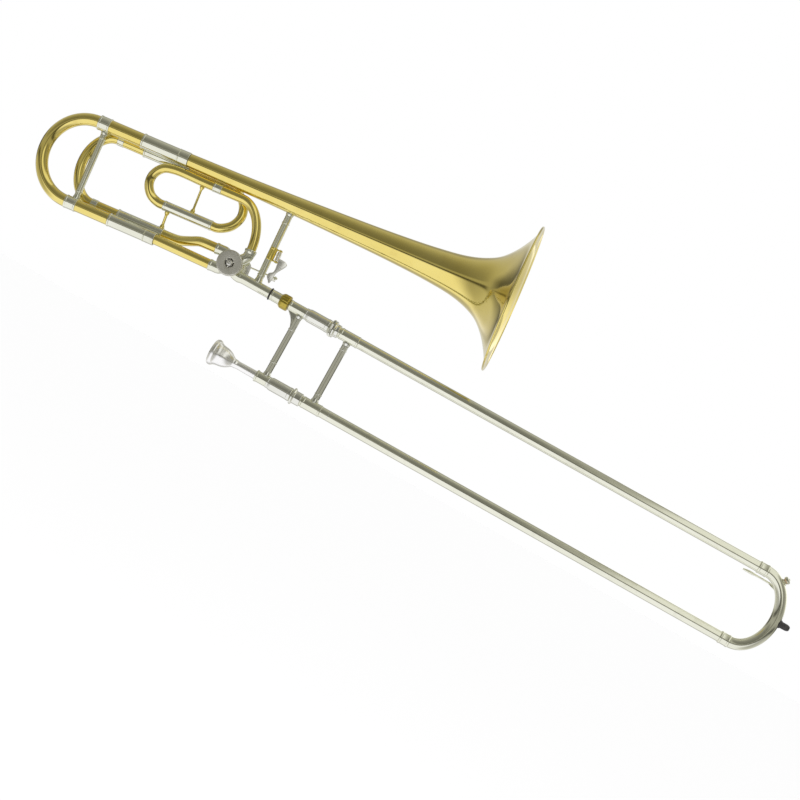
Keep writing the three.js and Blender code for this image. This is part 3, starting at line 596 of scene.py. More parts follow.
for side, leg in MAIN.items():
    place = BELL @ at(z=leg["z"])
    outer = sleeve_outline(*SLEEVE, leg["sleeve"], leg["bead"], leg["sleeve"] + 0.35, -213)
    ring = tube(-214.6, -213.4, leg["sleeve"] + 0.55, leg["sleeve"] - 0.3)
    body = hollow(outer, [(SLEEVE[0], leg["bore"]), (SLEEVE[1], leg["bore"])])
    piece(f"main_sleeve_{side}_shell", [moved(p, place) for p in (body, ring)], "nickel", "bell_section",
          f"main_sleeve_{side}")
    shoulder = SLEEVE[0] - 0.4
    tubes = hollow(
        [(FERRULE[1] - 1, leg["leg"]), (shoulder, leg["leg"]), (shoulder, leg["inner"]),
         (SLEEVE[1] - 8, leg["inner"])],
        [(FERRULE[1] - 1, leg["inner"] - 0.8), (SLEEVE[1] - 8, leg["inner"] - 0.8)],
    )
    piece(f"main_leg_{side}_tube", [moved(tubes, place)], "brass", "main_tuning_slide", f"main_leg_{side}")
    r = leg["leg"] + 0.7
    band = hollow(
        [(FERRULE[0] - 0.6, r - 1.3), (FERRULE[0] + 0.3, r + 0.25), (FERRULE[0] + 2.2, r + 0.25),
         (FERRULE[0] + 2.8, r - 0.1), (FERRULE[1] - 2.8, r - 0.1), (FERRULE[1] - 2.2, r + 0.25),
         (FERRULE[1] - 0.3, r + 0.25), (FERRULE[1], r - 0.6)],
        [(FERRULE[0] - 0.6, r - 2.5), (FERRULE[1], r - 2.5)],
    )
    piece(f"main_ferrule_{side}_band", [moved(band, place)], "nickel", "main_tuning_slide",
          f"main_ferrule_{side}")

main_middle = (BELL_Z + MAIN_LOW_Z) / 2
crook = [
    Vector((-333, 0, BELL_Z)),
    *ellipse(-333.9, 0, main_middle, 55.9, BELL_Z - main_middle, 360, 180),
    Vector((-333, 0, MAIN_LOW_Z)),
]
piece("main_crook_bow", [moved(sweep(crook, 8.6, 7.7, 56), BELL)], "brass", "main_tuning_slide", "main_crook")

brace_x = -321.4
post = foot((brace_x, 0, MAIN_LOW_Z + 9), (brace_x, 0, BELL_Z - 10.1), 4.3, 5.2, 4, (9.1, 10.2))
collars = [
    moved(bead(z, 1.1, 5.2, 0.8, 40), at(brace_x) @ AXIS_TO_Z)
    for z in (MAIN_LOW_Z + 18.6, BELL_Z - 19.6)
]
piece("main_slide_brace_post", [moved(p, BELL) for p in (post, *collars)], "nickel_post", "main_tuning_slide",
      "main_slide_brace")

# ---- F tuning slide ----

F_SLEEVE = (-264.2, -196)
F_CROOK_END = -304.5
for side, z in (("top", F_TOP_Z), ("bottom", F_LOW_Z)):
    place = BELL @ at(y=F_Y, z=z)
    outer = sleeve_outline(*F_SLEEVE, 7.9, 8.6, 8.15, -206)
    body = hollow(outer, [(F_SLEEVE[0], 6.5), (F_SLEEVE[1], 6.0)])
    piece(f"f_sleeve_{side}_shell", [moved(body, place)], "nickel", "bell_section", f"f_sleeve_{side}")
    shoulder = F_SLEEVE[0] - 0.4
    tubes = hollow(
        [(F_CROOK_END + 1, 6.9), (shoulder, 6.9), (shoulder, 6.3), (F_SLEEVE[1] - 6, 6.3)],
        [(F_CROOK_END + 1, 5.6), (F_SLEEVE[1] - 6, 5.6)],
    )
    piece(f"f_leg_{side}_tube", [moved(tubes, place)], "brass", "f_tuning_slide", f"f_leg_{side}")
    band = hollow(
        [(F_CROOK_END + 0.3, 7.0), (F_CROOK_END + 0.8, 7.55), (F_CROOK_END + 9.6, 7.55),
         (F_CROOK_END + 10, 7.0)],
        [(F_CROOK_END + 0.3, 5.8), (F_CROOK_END + 10, 5.8)],
    )
    piece(f"f_ferrule_{side}_band", [moved(band, place)], "nickel", "f_tuning_slide")

f_middle = (F_TOP_Z + F_LOW_Z) / 2
f_crook = [
    Vector((F_CROOK_END + 2, F_Y, F_TOP_Z)),
    *ellipse(F_CROOK_END, F_Y, f_middle, 34, F_TOP_Z - f_middle, 360, 180),
    Vector((F_CROOK_END + 2, F_Y, F_LOW_Z)),
]
piece("f_crook_bow", [moved(sweep(f_crook, 6.9, 6.1), BELL)], "brass", "f_tuning_slide", "f_crook")

# ---- tubing between the slides and the valve ----

PORT_TOP = VALVE[1] + 12
PORT_LOW = VALVE[1] - 12
KNUCKLE_X = -116.4
CURVE_TOP_X = -110.9
CURVE_FOOT = (-71.3, 46.9)

lower = [Vector((SLEEVE[1] - 1, 0, MAIN_LOW_Z)), Vector((KNUCKLE_X + 1, 0, PORT_LOW))]
piece("lower_main_tubing", [moved(sweep(even(lower, 3), 7.1, 6.2), BELL)], "brass", "bell_section",
      "lower_main_tube")

f_return = spline(
    (F_SLEEVE[1] - 1, F_Y, F_LOW_Z), (-184, F_Y, F_LOW_Z), (-170, 13, 20.5), (-155, 7.5, 25),
    (-141, 2.2, 29.7), (-129, 0, PORT_TOP), (KNUCKLE_X + 1, 0, PORT_TOP),
)
piece("f_return_tubing", [moved(sweep(f_return, 6.9, 6), BELL)], "brass", "bell_section", "f_return_tube")

LOOP_SLEEVE = (-208.2, -135.2)
rear = spline(
    (LOOP_SLEEVE[1] - 1, *LOOP_LOW), (-129, *LOOP_LOW), (-120, 8.2, 59.4), (-110, 10.5, 68), (-104.4, 13, 84),
    (-110.5, 15.2, 102), (-125, F_Y, 112.4), (-138, F_Y, F_TOP_Z), (-166, F_Y, F_TOP_Z),
    (F_SLEEVE[1] - 1, F_Y, F_TOP_Z),
)
piece("loop_rear_tubing", [moved(sweep(rear, 6.4, 5.6), BELL)], "brass", "bell_section", "loop_rear_tube")

front = spline(
    (CURVE_TOP_X + 1, 0, LOOP_TOP_Z), (-165, 0, LOOP_TOP_Z), (-213, 0, LOOP_TOP_Z), (-228, 1.4, 101),
    (-237.5, 3, 88), (-237.5, 4.2, 74), (-229, 5.8, 61.5), (-216, 7, 56.2), (LOOP_SLEEVE[0] + 1, *LOOP_LOW),
)
piece("loop_front_tubing", [moved(sweep(front, 6.4, 5.6), BELL)], "brass", "bell_section", "loop_front_tube")

sleeve = hollow(
    beaded(*LOOP_SLEEVE, (0.5, 3, 3.4), 6.5, 7.15, 6.9),
    [(LOOP_SLEEVE[0], 5.6), (LOOP_SLEEVE[1], 5.6)],
)
piece("loop_lower_sleeve_shell", [moved(sleeve, BELL @ at(0, *LOOP_LOW))], "nickel", "bell_section",
      "loop_lower_sleeve")

joint = hollow(
    [(-153.2, 6.4), (-152.7, 7.0), (-151, 7.0), (-150.6, 6.8), (-143.2, 6.8), (-142.8, 7.0), (-141, 7.0),
     (-140.5, 6.4)],
    [(-153.2, 6.1), (-140.5, 6.1)],
)
piece("loop_top_ferrule", [moved(joint, BELL @ at(z=LOOP_TOP_Z))], "nickel", "bell_section")

curve = ellipse(CURVE_TOP_X, 0, CURVE_FOOT[1], CURVE_FOOT[0] - CURVE_TOP_X, LOOP_TOP_Z - CURVE_FOOT[1], 0, 90)
curve.append(Vector((CURVE_FOOT[0], 0, CURVE_FOOT[1] - 2)))
piece("valve_curve_tubing", [moved(sweep(curve, 6.4, 5.6), BELL)], "brass", "bell_section", "valve_curve")

small_brace = foot((-167.7, 0.5, LOOP_TOP_Z - 6.2), (-167.7, 6.2, LOOP_LOW[1] + 6.7), 1.6, 3.3, 5, (6.4, 6.9))
piece("loop_brace_post", [moved(small_brace, BELL)], "small_brass", "bell_section", "loop_brace")
small_brace = foot((-200, 8.7, LOOP_LOW[1] - 6.6), (-200, 14.6, F_LOW_Z + 7.5), 1.9, 3.4, 5, (6.9, 7.9))
piece("sleeve_brace_post", [moved(small_brace, BELL)], "small_brass", "bell_section", "sleeve_brace")

# ---- rotary valve ----


def diagonal(quarter, r):
    angle = math.radians(45 + 90 * quarter)
    return Vector((VALVE[0] + r * math.cos(angle), 0, VALVE[1] + r * math.sin(angle)))


valve_front = BELL @ at(VALVE[0], 0, VALVE[1]) @ AXIS_TO_FRONT
valve_back = BELL @ at(VALVE[0], 0, VALVE[1]) @ AXIS_TO_BACK

shell = hollow([(-12, 15.2), (-11.4, 15.8), (-9.6, 15.8), (-9.2, 15.3), (9.2, 15.3), (9.6, 15.8), (12, 15.8)],
               [(-12, 12.6), (12, 12.6)], sides=96)
piece("valve_casing_shell", [moved(shell, valve_front)], "nickel_post", "bell_section", "valve_casing")

knuckles = {
    "lower_left": ((KNUCKLE_X, 0, PORT_LOW), (-109, 0, PORT_LOW), (-102.5, 0, PORT_LOW + 0.2),
                   diagonal(2, 13.4)),
    "upper_left": ((KNUCKLE_X, 0, PORT_TOP), (-109, 0, PORT_TOP), (-102.5, 0, PORT_TOP - 0.2),
                   diagonal(1, 13.4)),
    "upper_right": (
        (CURVE_FOOT[0], 0, CURVE_FOOT[1] - 0.3), (CURVE_FOOT[0], 0, 40), (-73.2, 0, 34), diagonal(0, 13.4)),
}
for side, points in knuckles.items():
    lip = 8.3 if side == "upper_right" else 8.0

    def flange(share, lip=lip):
        if share < 0.03:
            return lip - 0.5 + share * 16
        if share < 0.13:
            return lip
        return max(7.55, lip - (share - 0.13) * 5)

    path = spline(*points, spacing=0.7)
    piece(f"knuckle_{side}_elbow", [moved(sweep(path, flange, 6), BELL)], "nickel_post", "bell_section",
          f"knuckle_{side}")

CAP_R = 18.0
knurl = round_outline(CAP_R - 0.1, 240, lobes=60, lobe=0.09)
cap_edge = slab(knurl, -15.2, -12.5, 0.35)
cap_face = turned(
    [(12.6, 0), (12.6, CAP_R - 0.8), (15.9, CAP_R - 0.8), (16.4, CAP_R - 1.6), (16.4, 6.9), (15.2, 6.4),
     (15.2, 4.3), (16.6, 3.9), (16.6, 0)],
    0.4, 96,
)
piece("valve_cap_disc", [moved(cap_edge, BELL @ at(VALVE[0], 0, VALVE[1])), moved(cap_face, valve_front)],
      "satin", "bell_section", "valve_cap")
screw_turn = Matrix.Rotation(math.radians(62), 4, "X")
screw = [moved(p, valve_front @ at(16.3) @ screw_turn) for p in slotted_screw(3.3, 1.3, 1.1)]
holes = []
for turn in (150, 270, 30):
    a = math.radians(turn)
    stud = turned([(14.8, 0), (14.8, 0.85), (15.9, 0.85), (16.1, 0)], 0.3, 20)
    holes.append(moved(stud, valve_front @ at(0, 5.35 * math.cos(a), 5.35 * math.sin(a))))
piece("valve_cap_screw", [*screw, *holes], "silver", "bell_section")

back = hollow([(12.2, 15.6), (13.8, 15.6), (14.2, 11), (14.2, 4.8)], [(12.2, 2.7), (14.2, 2.7)], sides=96)
piece("valve_back_cover", [moved(back, valve_back)], "nickel_post", "bell_section", "valve_back_plate")

stop_outline = smooth_outline(
    (-78, 33.5), (-70, 31.5), (-65.2, 27), (-64.3, 20), (-64.6, 13), (-67.5, 8.5), (-74, 6.5), (-80, 9),
    (-76.5, 14), (-74.6, 20), (-76, 27),
)
stops = slab(stop_outline, 12.0, 14.6, 0.4)
piece("valve_stop_plate", [moved(stops, BELL)], "silver", "bell_section")
stop_screws = []
for x, z in ((-69.2, 27.2), (-69.2, 11.0)):
    for part in slotted_screw(1.9, 1.2, 0.6):
        stop_screws.append(moved(part, BELL @ at(x, 14.5, z) @ AXIS_TO_BACK))
        stop_screws.append(moved(part, BELL @ at(x, 12.1, z) @ AXIS_TO_FRONT))
piece("valve_stop_screws", stop_screws, "nickel_post", "bell_section")
bumpers = [
    moved(cylinder(14.4, 17.4, 1.9, 0.4, 28), BELL @ at(x, 0, z) @ AXIS_TO_BACK)
    for x, z in ((-78.6, 8.4), (-79.2, 30.6))
]
piece("valve_stop_corks", bumpers, "cork", "bell_section")

spindle = turned([(-11.6, 0), (-11.6, 12.3), (11.6, 12.3), (11.6, 2.3), (18.7, 2.3), (18.7, 1.6), (19, 0)],
                 0.3, 48)
piece("rotor_spindle", [moved(spindle, valve_back)], "satin", "valve_rotor", "rotor")
PIN = diagonal(0, 8)
hub = hollow([(15.4, 4.4), (17.8, 4.4)], [(15.4, 2.2), (17.8, 2.2)])
hub_screw = [moved(p, valve_back @ at(18.6)) for p in slotted_screw(2.9, 1.2, 0.7)]
arm_turn = at(VALVE[0], 0, VALVE[1]) @ Matrix.Rotation(math.radians(-45), 4, "Y")
arm = moved(slab(smooth_outline((3, 2.4), (8, 1.9), (10.2, 0), (8, -1.9), (3, -2.4), (1.4, 0)), 15.4, 17.6,
                 0.35),
            arm_turn)
pin = turned([(15.9, 0), (15.9, 1.2), (23.2, 1.2), (23.6, 0.9), (23.6, 0)], 0.2, 24)
piece("stop_arm_lever", [moved(hub, valve_back), *hub_screw, moved(arm, BELL),
                         moved(pin, BELL @ at(PIN.x, 0, PIN.z) @ AXIS_TO_BACK)],
      "nickel_post", "valve_rotor", "stop_arm")

# ---- neckpipe, receiver and lock nut ----

valve_port = BELL @ diagonal(3, 13.4)
neck = spline((valve_port.x, 0, valve_port.z), (-73.5, 0, -0.6), (-64, 0, 0), (-45, 0, 0), (-23.4, 0, 0))


def neck_radius(share):
    if share < 0.16:
        return 7.7
    if share < 0.2:
        return 7.7 - (share - 0.16) * 12
    return 7.2


piece("neckpipe_tube", [sweep(neck, neck_radius, 6.1)], "nickel", "bell_section", "neckpipe")
grommet = hollow([(-24.2, 8.2), (-23.7, 8.8), (-22.9, 8.8), (-22.4, 8.2)], [(-24.2, 7.2), (-22.4, 7.2)], 0.5)
piece("receiver_grommet", [grommet], "rubber", "bell_section", "receiver_ring")
receiver = hollow(
    [(-22.4, 7.3), (-21.6, 7.75), (-19.8, 7.75), (-19.5, 7.55), (-18.9, 7.55), (-18.6, 7.75), (-1, 7.75)],
    [(-22.4, 6.6), (-1, 6.6)],
)
piece("bell_receiver_socket", [receiver], "nickel", "bell_section", "bell_receiver")


def lock_nut():
    """The lock nut: its wide middle is fluted, and a step in the bore holds the slide's tenon."""
    lobes = 12
    outline = softened(
        [(-7.4, 7.95), (-7.4, 8.6), (-6.6, 9.1), (-5.0, 10.3), (-3.2, 10.75), (4.2, 10.75), (5.6, 10.3),
         (6.3, 9.3), (6.3, 6.95)],
        0.6,
    )

    def fluted(r, angle):
        fluting = max(0.0, min(1.0, (r - 9.0) / 1.4))
        depth = abs(math.sin(lobes * angle / 2)) ** 0.7
        return r + fluting * (0.55 * depth - 0.45)

    return revolved([*outline, Vector((2, 6.95)), Vector((2, 7.95))], 192, fluted)


piece("lock_nut_ring", [lock_nut()], "nut_brass", "nut", "lock_nut", sharp=60)

# ---- bell brace, thumb lever and linkage ----

BRACE_FOOT = Vector((-45.5, 0, 12.3))
BRACE_HEAD = Vector((-42.2, 0, 111.4))
upright = (BRACE_HEAD - BRACE_FOOT).normalized()
lean = Vector((0, 0, 1)).rotation_difference(upright).to_matrix().to_4x4()
LEVERED = BELL @ at(LEVER[0], 0, LEVER[1]) @ lean @ at(-LEVER[0], 0, -LEVER[1])

start, end = BRACE_FOOT - upright * 0.7, BRACE_HEAD + upright * 0.9
brace = foot(start, end, 4.8, 5.7, 4, (7.3, 13.0))
bands = [
    moved(bead(distance, 1, 5.5, 0.7), along(start, end))
    for distance in (9, 86)
]
piece("bell_brace_post", [moved(p, BELL) for p in (brace, *bands)], "nickel_post", "bell_section",
      "bell_brace")


def upright_at(x, y=0.0):
    return LEVERED @ at(x, y) @ AXIS_TO_Z


collar_x = (BRACE_FOOT.lerp(BRACE_HEAD, 0.4)).x
collar_edge = [*beaded(43.4, 61.6, (0.6, 2.6, 3.2), 6.0, 6.5, 6.2), (61.6, 4.7), (43.4, 4.7)]
collar = clip(collar_edge, -90, 118)
lugs = []
for low in (43.7, 59.4):
    outline = smooth_outline(
        (collar_x, 3), (LEVER[0], 2.9), (LEVER[0] + 2.9, 0), (LEVER[0], -2.9),
        (collar_x, -3), (collar_x - 3, 0),
    )
    lug = slab(outline, low, low + 2, 0.4)
    lugs.append(moved(lug, LEVERED @ Matrix.Rotation(math.radians(90), 4, "X")))
pin = turned([(42.9, 0), (42.9, 1.9), (43.7, 1.9), (43.7, 1.3), (61.4, 1.3), (61.4, 1.9), (62.2, 1.9),
              (62.2, 0)], 0.3, 32)
piece("lever_saddle_clamp", [moved(collar, upright_at(collar_x)), *lugs], "small_brass", "bell_section",
      "lever_saddle")
piece("lever_hinge_pin", [moved(pin, upright_at(LEVER[0]))], "nickel_post", "bell_section")

coil = [
    Vector((3.2 * math.cos(a), 3.2 * math.sin(a), 51.8 + 1.6 * a / (2 * math.pi)))
    for a in (2 * math.pi * k / 28 for k in range(28 * 3 + 1))
]
tail = [coil[-1] + Vector((-1.5 * k, 0.5 * k, 0.1 * k)) for k in range(1, 4)]
piece("lever_spring_coil", [moved(sweep(even([*coil, *tail], 0.6), 0.35, sides=12), LEVERED @ at(LEVER[0]))],
      "nickel_post", "bell_section", "lever_spring")


def paddle():
    """The thumb plate: a broad upper pad and a narrow tail, set at a slight angle to the thumb."""
    x = LEVER[0]
    outline = smooth_outline(
        (x + 0.5, 50.6), (x + 7, 50.6), (x + 13, 49.6), (x + 15.6, 47), (x + 14.9, 43.6), (x + 10.5, 36.5),
        (x + 7.2, 30.6), (x + 6.4, 25.5), (x + 5.9, 20), (x + 3.7, 14.4), (x + 1.2, 17.5), (x - 2.2, 22),
        (x - 1.7, 27.3), (x + 2.6, 30.6), (x + 3.6, 35), (x + 3.1, 41), (x + 2.4, 45.6), (x + 0.3, 47.2),
        spacing=0.8,
    )
    vertices, faces = slab(outline, -0.9, 0.9, 0.6, 3)
    for v in vertices:
        v.y += 0.12 * (v.x - x - 5) + 0.05 * (v.z - 36)
    return vertices, faces


barrel = hollow(beaded(46.1, 58.9, (0.4, 1.4, 1.7), 2.4, 2.9, 2.6), [(46.1, 1.4), (58.9, 1.4)])
stud_x = LEVER[0] + LEVER_ARM * math.sin(LEVER_REST)
stud_y = LEVER_ARM * math.cos(LEVER_REST)
arm = slab(smooth_outline((-2, 0), (-1.6, 10), (-1.9, 19), (0, 22), (1.9, 19), (1.6, 10), (2, 0), (0, -1.6)),
           -1.3, 1.3, 0.4)
lever_turn = Matrix.Rotation(-LEVER_REST, 4, "Z")
arm_place = (
    LEVERED @ at(LEVER[0], 0, LINK_Z - 3.6) @ lever_turn @ Matrix.Rotation(math.radians(-90), 4, "X")
)
stud = turned([(LINK_Z - 4, 0), (LINK_Z - 4, 1.2), (LINK_Z + 2.3, 1.2), (LINK_Z + 2.7, 0.8),
               (LINK_Z + 2.7, 0)], 0.2, 24)
screw_place = LEVERED @ at(LEVER[0] + 0.6, -0.8, 25.2) @ AXIS_TO_FRONT
pad_screw = [moved(p, screw_place) for p in slotted_screw(1.7, 1.0, 0.55)]
piece("thumb_lever_paddle",
      [moved(paddle(), LEVERED), moved(barrel, upright_at(LEVER[0])), moved(arm, arm_place),
       moved(stud, upright_at(stud_x, stud_y))],
      "silver", "trigger", "thumb_lever")
piece("thumb_lever_screw", pad_screw, "nickel_post", "trigger")

eye_x = LEVER[0] + LEVER_ARM * math.sin(LEVER_REST) - 0.9
link_ring = hollow([(LINK_Z - 1.4, 3), (LINK_Z + 1.4, 3)], [(LINK_Z - 1.4, 1.55), (LINK_Z + 1.4, 1.55)])
rod = cylinder(PIN.x + 2.4, eye_x - 2.3, 1.1, 0.1, 24)
nuts = [
    moved(slab(round_outline(1.95, 6), x, x + 1.6, 0.2), AXIS_TO_FRONT)
    for x in (PIN.x + 4.6, eye_x - 5.2)
]
CORNERS = ((-1, -1), (1, -1), (1, 1), (-1, 1))


def slotted_eye():
    """The link's eye: a rounded block with a slot for the stop arm's pin."""
    outer, inner = (
        softened([(PIN.x + x * half_x, LINK_Z + z * half_z) for x, z in CORNERS], corner, closed=True)
        for half_x, half_z, corner in ((3.2, 4.7, 1.6), (1.65, 3.1, 1.2))
    )
    count = len(outer)
    vertices, rings = [], []
    for shape, y in ((outer, LINK_Y - 1), (outer, LINK_Y + 1), (inner, LINK_Y + 1), (inner, LINK_Y - 1)):
        rings.append(range(len(vertices), len(vertices) + count))
        vertices.extend(Vector((p.x, y, p.y)) for p in shape)
    return vertices, ring_faces(rings, count, closed=True)


piece("valve_link_rod",
      [moved(slotted_eye(), BELL), moved(rod, BELL @ at(0, LINK_Y, LINK_Z)),
       *(moved(n, BELL @ at(0, LINK_Y, LINK_Z)) for n in nuts),
       moved(link_ring, BELL @ at(eye_x, stud_y) @ AXIS_TO_Z)],
      "nickel", "trigger_link", "valve_link")

# ---- inner slide ----

tenon = hollow(
    [(-18, 6.3), (-0.7, 6.3), (-0.7, 7.4), (1.7, 7.4), (1.7, 6.5), (6.9, 6.5), (6.9, 7.4), (8.6, 7.75),
     (9.6, 7.75), (10.4, 7.4), (34, 7.4)],
    [(-18, 5.6), (34, 5.6)],
)
piece("slide_tenon_tube", [tenon], "nickel", "inner_slide", "slide_tenon")
socket = hollow(
    [(13.2, 7.9), (13.7, 8.35), (15.8, 8.35), (16.4, 7.7), (33.5, 7.7)], [(13.2, 6.25), (33.5, 6.25)])
piece("mouthpiece_socket", [moved(socket, at(z=LOWER_Z))], "nickel", "inner_slide", "mouthpiece_receiver")
piece("leadpipe_tube", [moved(tube(42, 250, 5.95, 5.4), at(z=LOWER_Z))], "brass", "inner_slide", "leadpipe")

brace_x = 25.9
post = foot((brace_x, 0, LOWER_Z + 7.6), (brace_x, 0, -7.3), 4.5, 5.4, 4, (7.7, 7.4))
web = slab(smooth_outline(
    (8.4, -6.6), (11.5, -10.2), (15.2, -13.8), (18.6, -19), (21.6, -26), (24, -28), (26, -26), (26, -12),
    (24, -6.4), (16, -6.2), spacing=0.8), -1.7, 1.7, 1.1, 4)
rings = [
    moved(bead(z, 0.9, 5.1, 0.6), at(brace_x) @ AXIS_TO_Z)
    for z in (-28.6, -78.6)
]
piece("inner_brace_post", [post, web, *rings], "chrome_post", "inner_slide", "inner_brace")

for side, z in (("upper", 0.0), ("lower", LOWER_Z)):
    place = at(z=z)
    barrel = hollow(
        [(31.2, 7.6), (31.6, 8.15), (33.2, 8.15), (33.8, 7.95), (37.5, 9.1), (39, 9.2), (63.5, 9.2),
         (64, 9.55), (67.6, 9.55), (68.4, 9.2), (69.2, 8.6)],
        [(31.2, 6.9), (69.2, 7.4)],
    )
    piece(f"cork_barrel_{side}_shell", [moved(barrel, place)], "chrome", "inner_slide", f"cork_barrel_{side}")
    inner = hollow(
        [(33.6, 6.8), (560, 6.8), (561.5, 6.95), (701.5, 6.95), (702, 6.8)], [(33.6, 6.35), (702, 6.35)],
        0.15)
    piece(f"inner_tube_{side}_stocking", [moved(inner, place)], "chrome", "inner_slide", f"inner_tube_{side}")


def lock_ring():
    """The slide lock: a knurled collar with a sloping back."""
    outline = softened([(69.5, 7.4), (69.5, 9.6), (70.4, 11.0), (71.6, 12.0), (74.2, 12.0), (74.3, 7.4)],
                       0.35)
    return revolved(outline, 240, lambda r, a: r + (0.22 * math.cos(60 * a) - 0.15 if r > 11.4 else 0))


piece("slide_lock_collar", [lock_ring()], "chrome", "slide_lock", "slide_lock_ring", sharp=55)

# ---- outer slide ----

HAND_X = 100.1
for side, z, flange_from, mark in (("upper", 0.0, 74.6, 173.0), ("lower", LOWER_Z, 69.6, 126.0)):
    place = at(z=z)
    outer = tube(75, 721.5, 7.5, 7.15, 0.1, 96)
    piece(f"outer_tube_{side}_shell", [moved(outer, place)], "nickel", "outer_slide", f"outer_tube_{side}")
    ring = hollow(
        [(flange_from, 11.2), (flange_from + 0.5, 11.8), (flange_from + 2.4, 11.8), (flange_from + 3.6, 9.6),
         (flange_from + 4.6, 9.2), (83.2, 9.2), (84, 8.3)],
        [(flange_from, 7.7), (84, 7.5)], 0.5, 72,
    )
    piece(f"outer_ring_{side}_ferrule", [moved(ring, place)], "chrome", "outer_slide", f"outer_ring_{side}")
    saddle = hollow(
        beaded(85.6, 114.4, (0.8, 2.6, 3.4), 7.5, 8.3, 8.05),
        [(85.6, 7.2), (114.4, 7.2)],
    )
    piece(f"hand_saddle_{side}", [moved(saddle, place)], "nickel", "outer_slide")
    piece(f"slide_mark_{side}", [moved(tube(mark, mark + 1.1, 7.64, 7.3), place)], "chrome", "outer_slide")

post = foot((HAND_X, 0, LOWER_Z + 7.95), (HAND_X, 0, -7.95), 4.7, 5.6, 4, (8.05, 8.05))
rings = [
    moved(bead(z, 0.9, 5.25, 0.6), at(HAND_X) @ AXIS_TO_Z)
    for z in (-18.5, LOWER_Z + 18.5)
]
piece("hand_brace_post", [post, *rings], "chrome_post", "outer_slide", "hand_brace")

crown_middle = LOWER_Z / 2
bow = [
    Vector((720.6, 0, 0)), Vector((726, 0, 0)),
    *ellipse(CROWN_X, 0, crown_middle, CROWN_DEPTH, -crown_middle, 0, 180, 110),
    Vector((726, 0, LOWER_Z)), Vector((720.6, 0, LOWER_Z)),
]
bow_ferrules = [
    moved(hollow(
        [(720.5, 7.8), (720.9, 8.6), (723.2, 8.6), (723.8, 8.25), (731.6, 8.25), (732.2, 8.6), (734.5, 8.6),
         (735.2, 7.8)],
        [(720.5, 7.3), (735.2, 7.3)]), at(z=z))
    for z in (0, LOWER_Z)
]
piece("crown_bow", [sweep(even(bow, 2), 7.8, 6.6, 56), *bow_ferrules], "nickel", "outer_slide", "crown")

NIPPLE_TURN = math.radians(31)
out_of_bow = Vector((math.sin(NIPPLE_TURN) / CROWN_DEPTH, 0,
                     math.cos(NIPPLE_TURN) / -crown_middle)).normalized()
on_bow = Vector((CROWN_X + CROWN_DEPTH * math.sin(NIPPLE_TURN), 0,
                 crown_middle - crown_middle * math.cos(NIPPLE_TURN)))
nipple = along(on_bow, on_bow + out_of_bow)
drain = hollow([(6.5, 5.2), (7.4, 4.9), (8.4, 3.7), (9.4, 3.6)], [(6.5, 1.6), (9.4, 1.6)], 0.5, 48)
piece("water_key_nipple", [moved(drain, nipple)], "nickel", "outer_slide")
pad = cylinder(9.6, 11.3, 3.8, 0.5, 40)
piece("water_key_cork", [moved(pad, nipple)], "cork", "drain_key", "water_key_pad")

KEY_PIVOT = Vector((764.2, 0, -18.8))
KEY_NEAR, KEY_FAR = 9.8, 12.0
elbow = (744.8, -12.4)
cup = hollow([(10.6, 4.9), (11.0, 5.3), (13.6, 5.3), (14.5, 4.6), (15.0, 3.2)],
             [(10.6, 4.2), (11.6, 4.1), (11.7, 1.2), (15.0, 1.2)], 0.4, 56)
cup_stud = turned([(11.8, 0), (11.8, 1.5), (15.6, 1.5), (16.2, 1.1), (16.4, 0)], 0.4, 28)
bridge = on_bow + out_of_bow * 14.0


def bar(start, end, width, low=KEY_NEAR, high=KEY_FAR):
    """A flat bar with round ends between two points in XZ."""
    a, b = Vector(start), Vector(end)
    angle = math.atan2(b.y - a.y, b.x - a.x)
    ends = []
    for middle, first in ((b, -90), (a, 90)):
        for k in range(13):
            turn = angle + math.radians(first + 15 * k)
            ends.append((middle.x + width / 2 * math.cos(turn), middle.y + width / 2 * math.sin(turn)))
    return slab(ends, low, high, 0.45)


across_bow = moved(cylinder(-1.2, KEY_FAR - 0.4, 1.7, 0.5, 28), at(bridge.x, 0, bridge.z) @ AXIS_TO_BACK)
hub = moved(hollow([(8.8, 2.4), (9.2, 2.95), (12.6, 2.95), (13.0, 2.4)], [(8.8, 1.5), (13.0, 1.5)]),
            at(*KEY_PIVOT) @ AXIS_TO_BACK)
touch = sweep(
    spline((elbow[0] + 2, 10.9, elbow[1]), (736, 10.9, -12.0), (722, 10.9, -12.0), (710, 10.6, -12.3),
           (705.8, 10.4, -12.6)),
    lambda share: 1.35 + 0.75 * math.sin(math.pi * min(1, max(0, share - 0.45) / 0.57)) ** 2, sides=28)
piece("water_key_lever",
      [moved(cup, nipple), moved(cup_stud, nipple), across_bow, hub,
       bar((bridge.x, bridge.z), (KEY_PIVOT.x, KEY_PIVOT.z), 3.4),
       bar((KEY_PIVOT.x, KEY_PIVOT.z), elbow, 3.2), touch],
      "nickel", "drain_key", "water_key")
key_post = turned([(7.4, 0), (7.4, 3.6), (8.2, 3.4), (8.6, 2.6), (8.6, 1.2), (13.4, 1.2), (13.4, 0)], 0.3, 40)
key_screw = [moved(part, at(*KEY_PIVOT) @ AXIS_TO_BACK @ at(13.5)) for part in slotted_screw(2.4, 1.6, 0.6)]
piece("water_key_pillar", [moved(key_post, at(*KEY_PIVOT) @ AXIS_TO_BACK), *key_screw], "nickel",
      "outer_slide", "water_key_post")

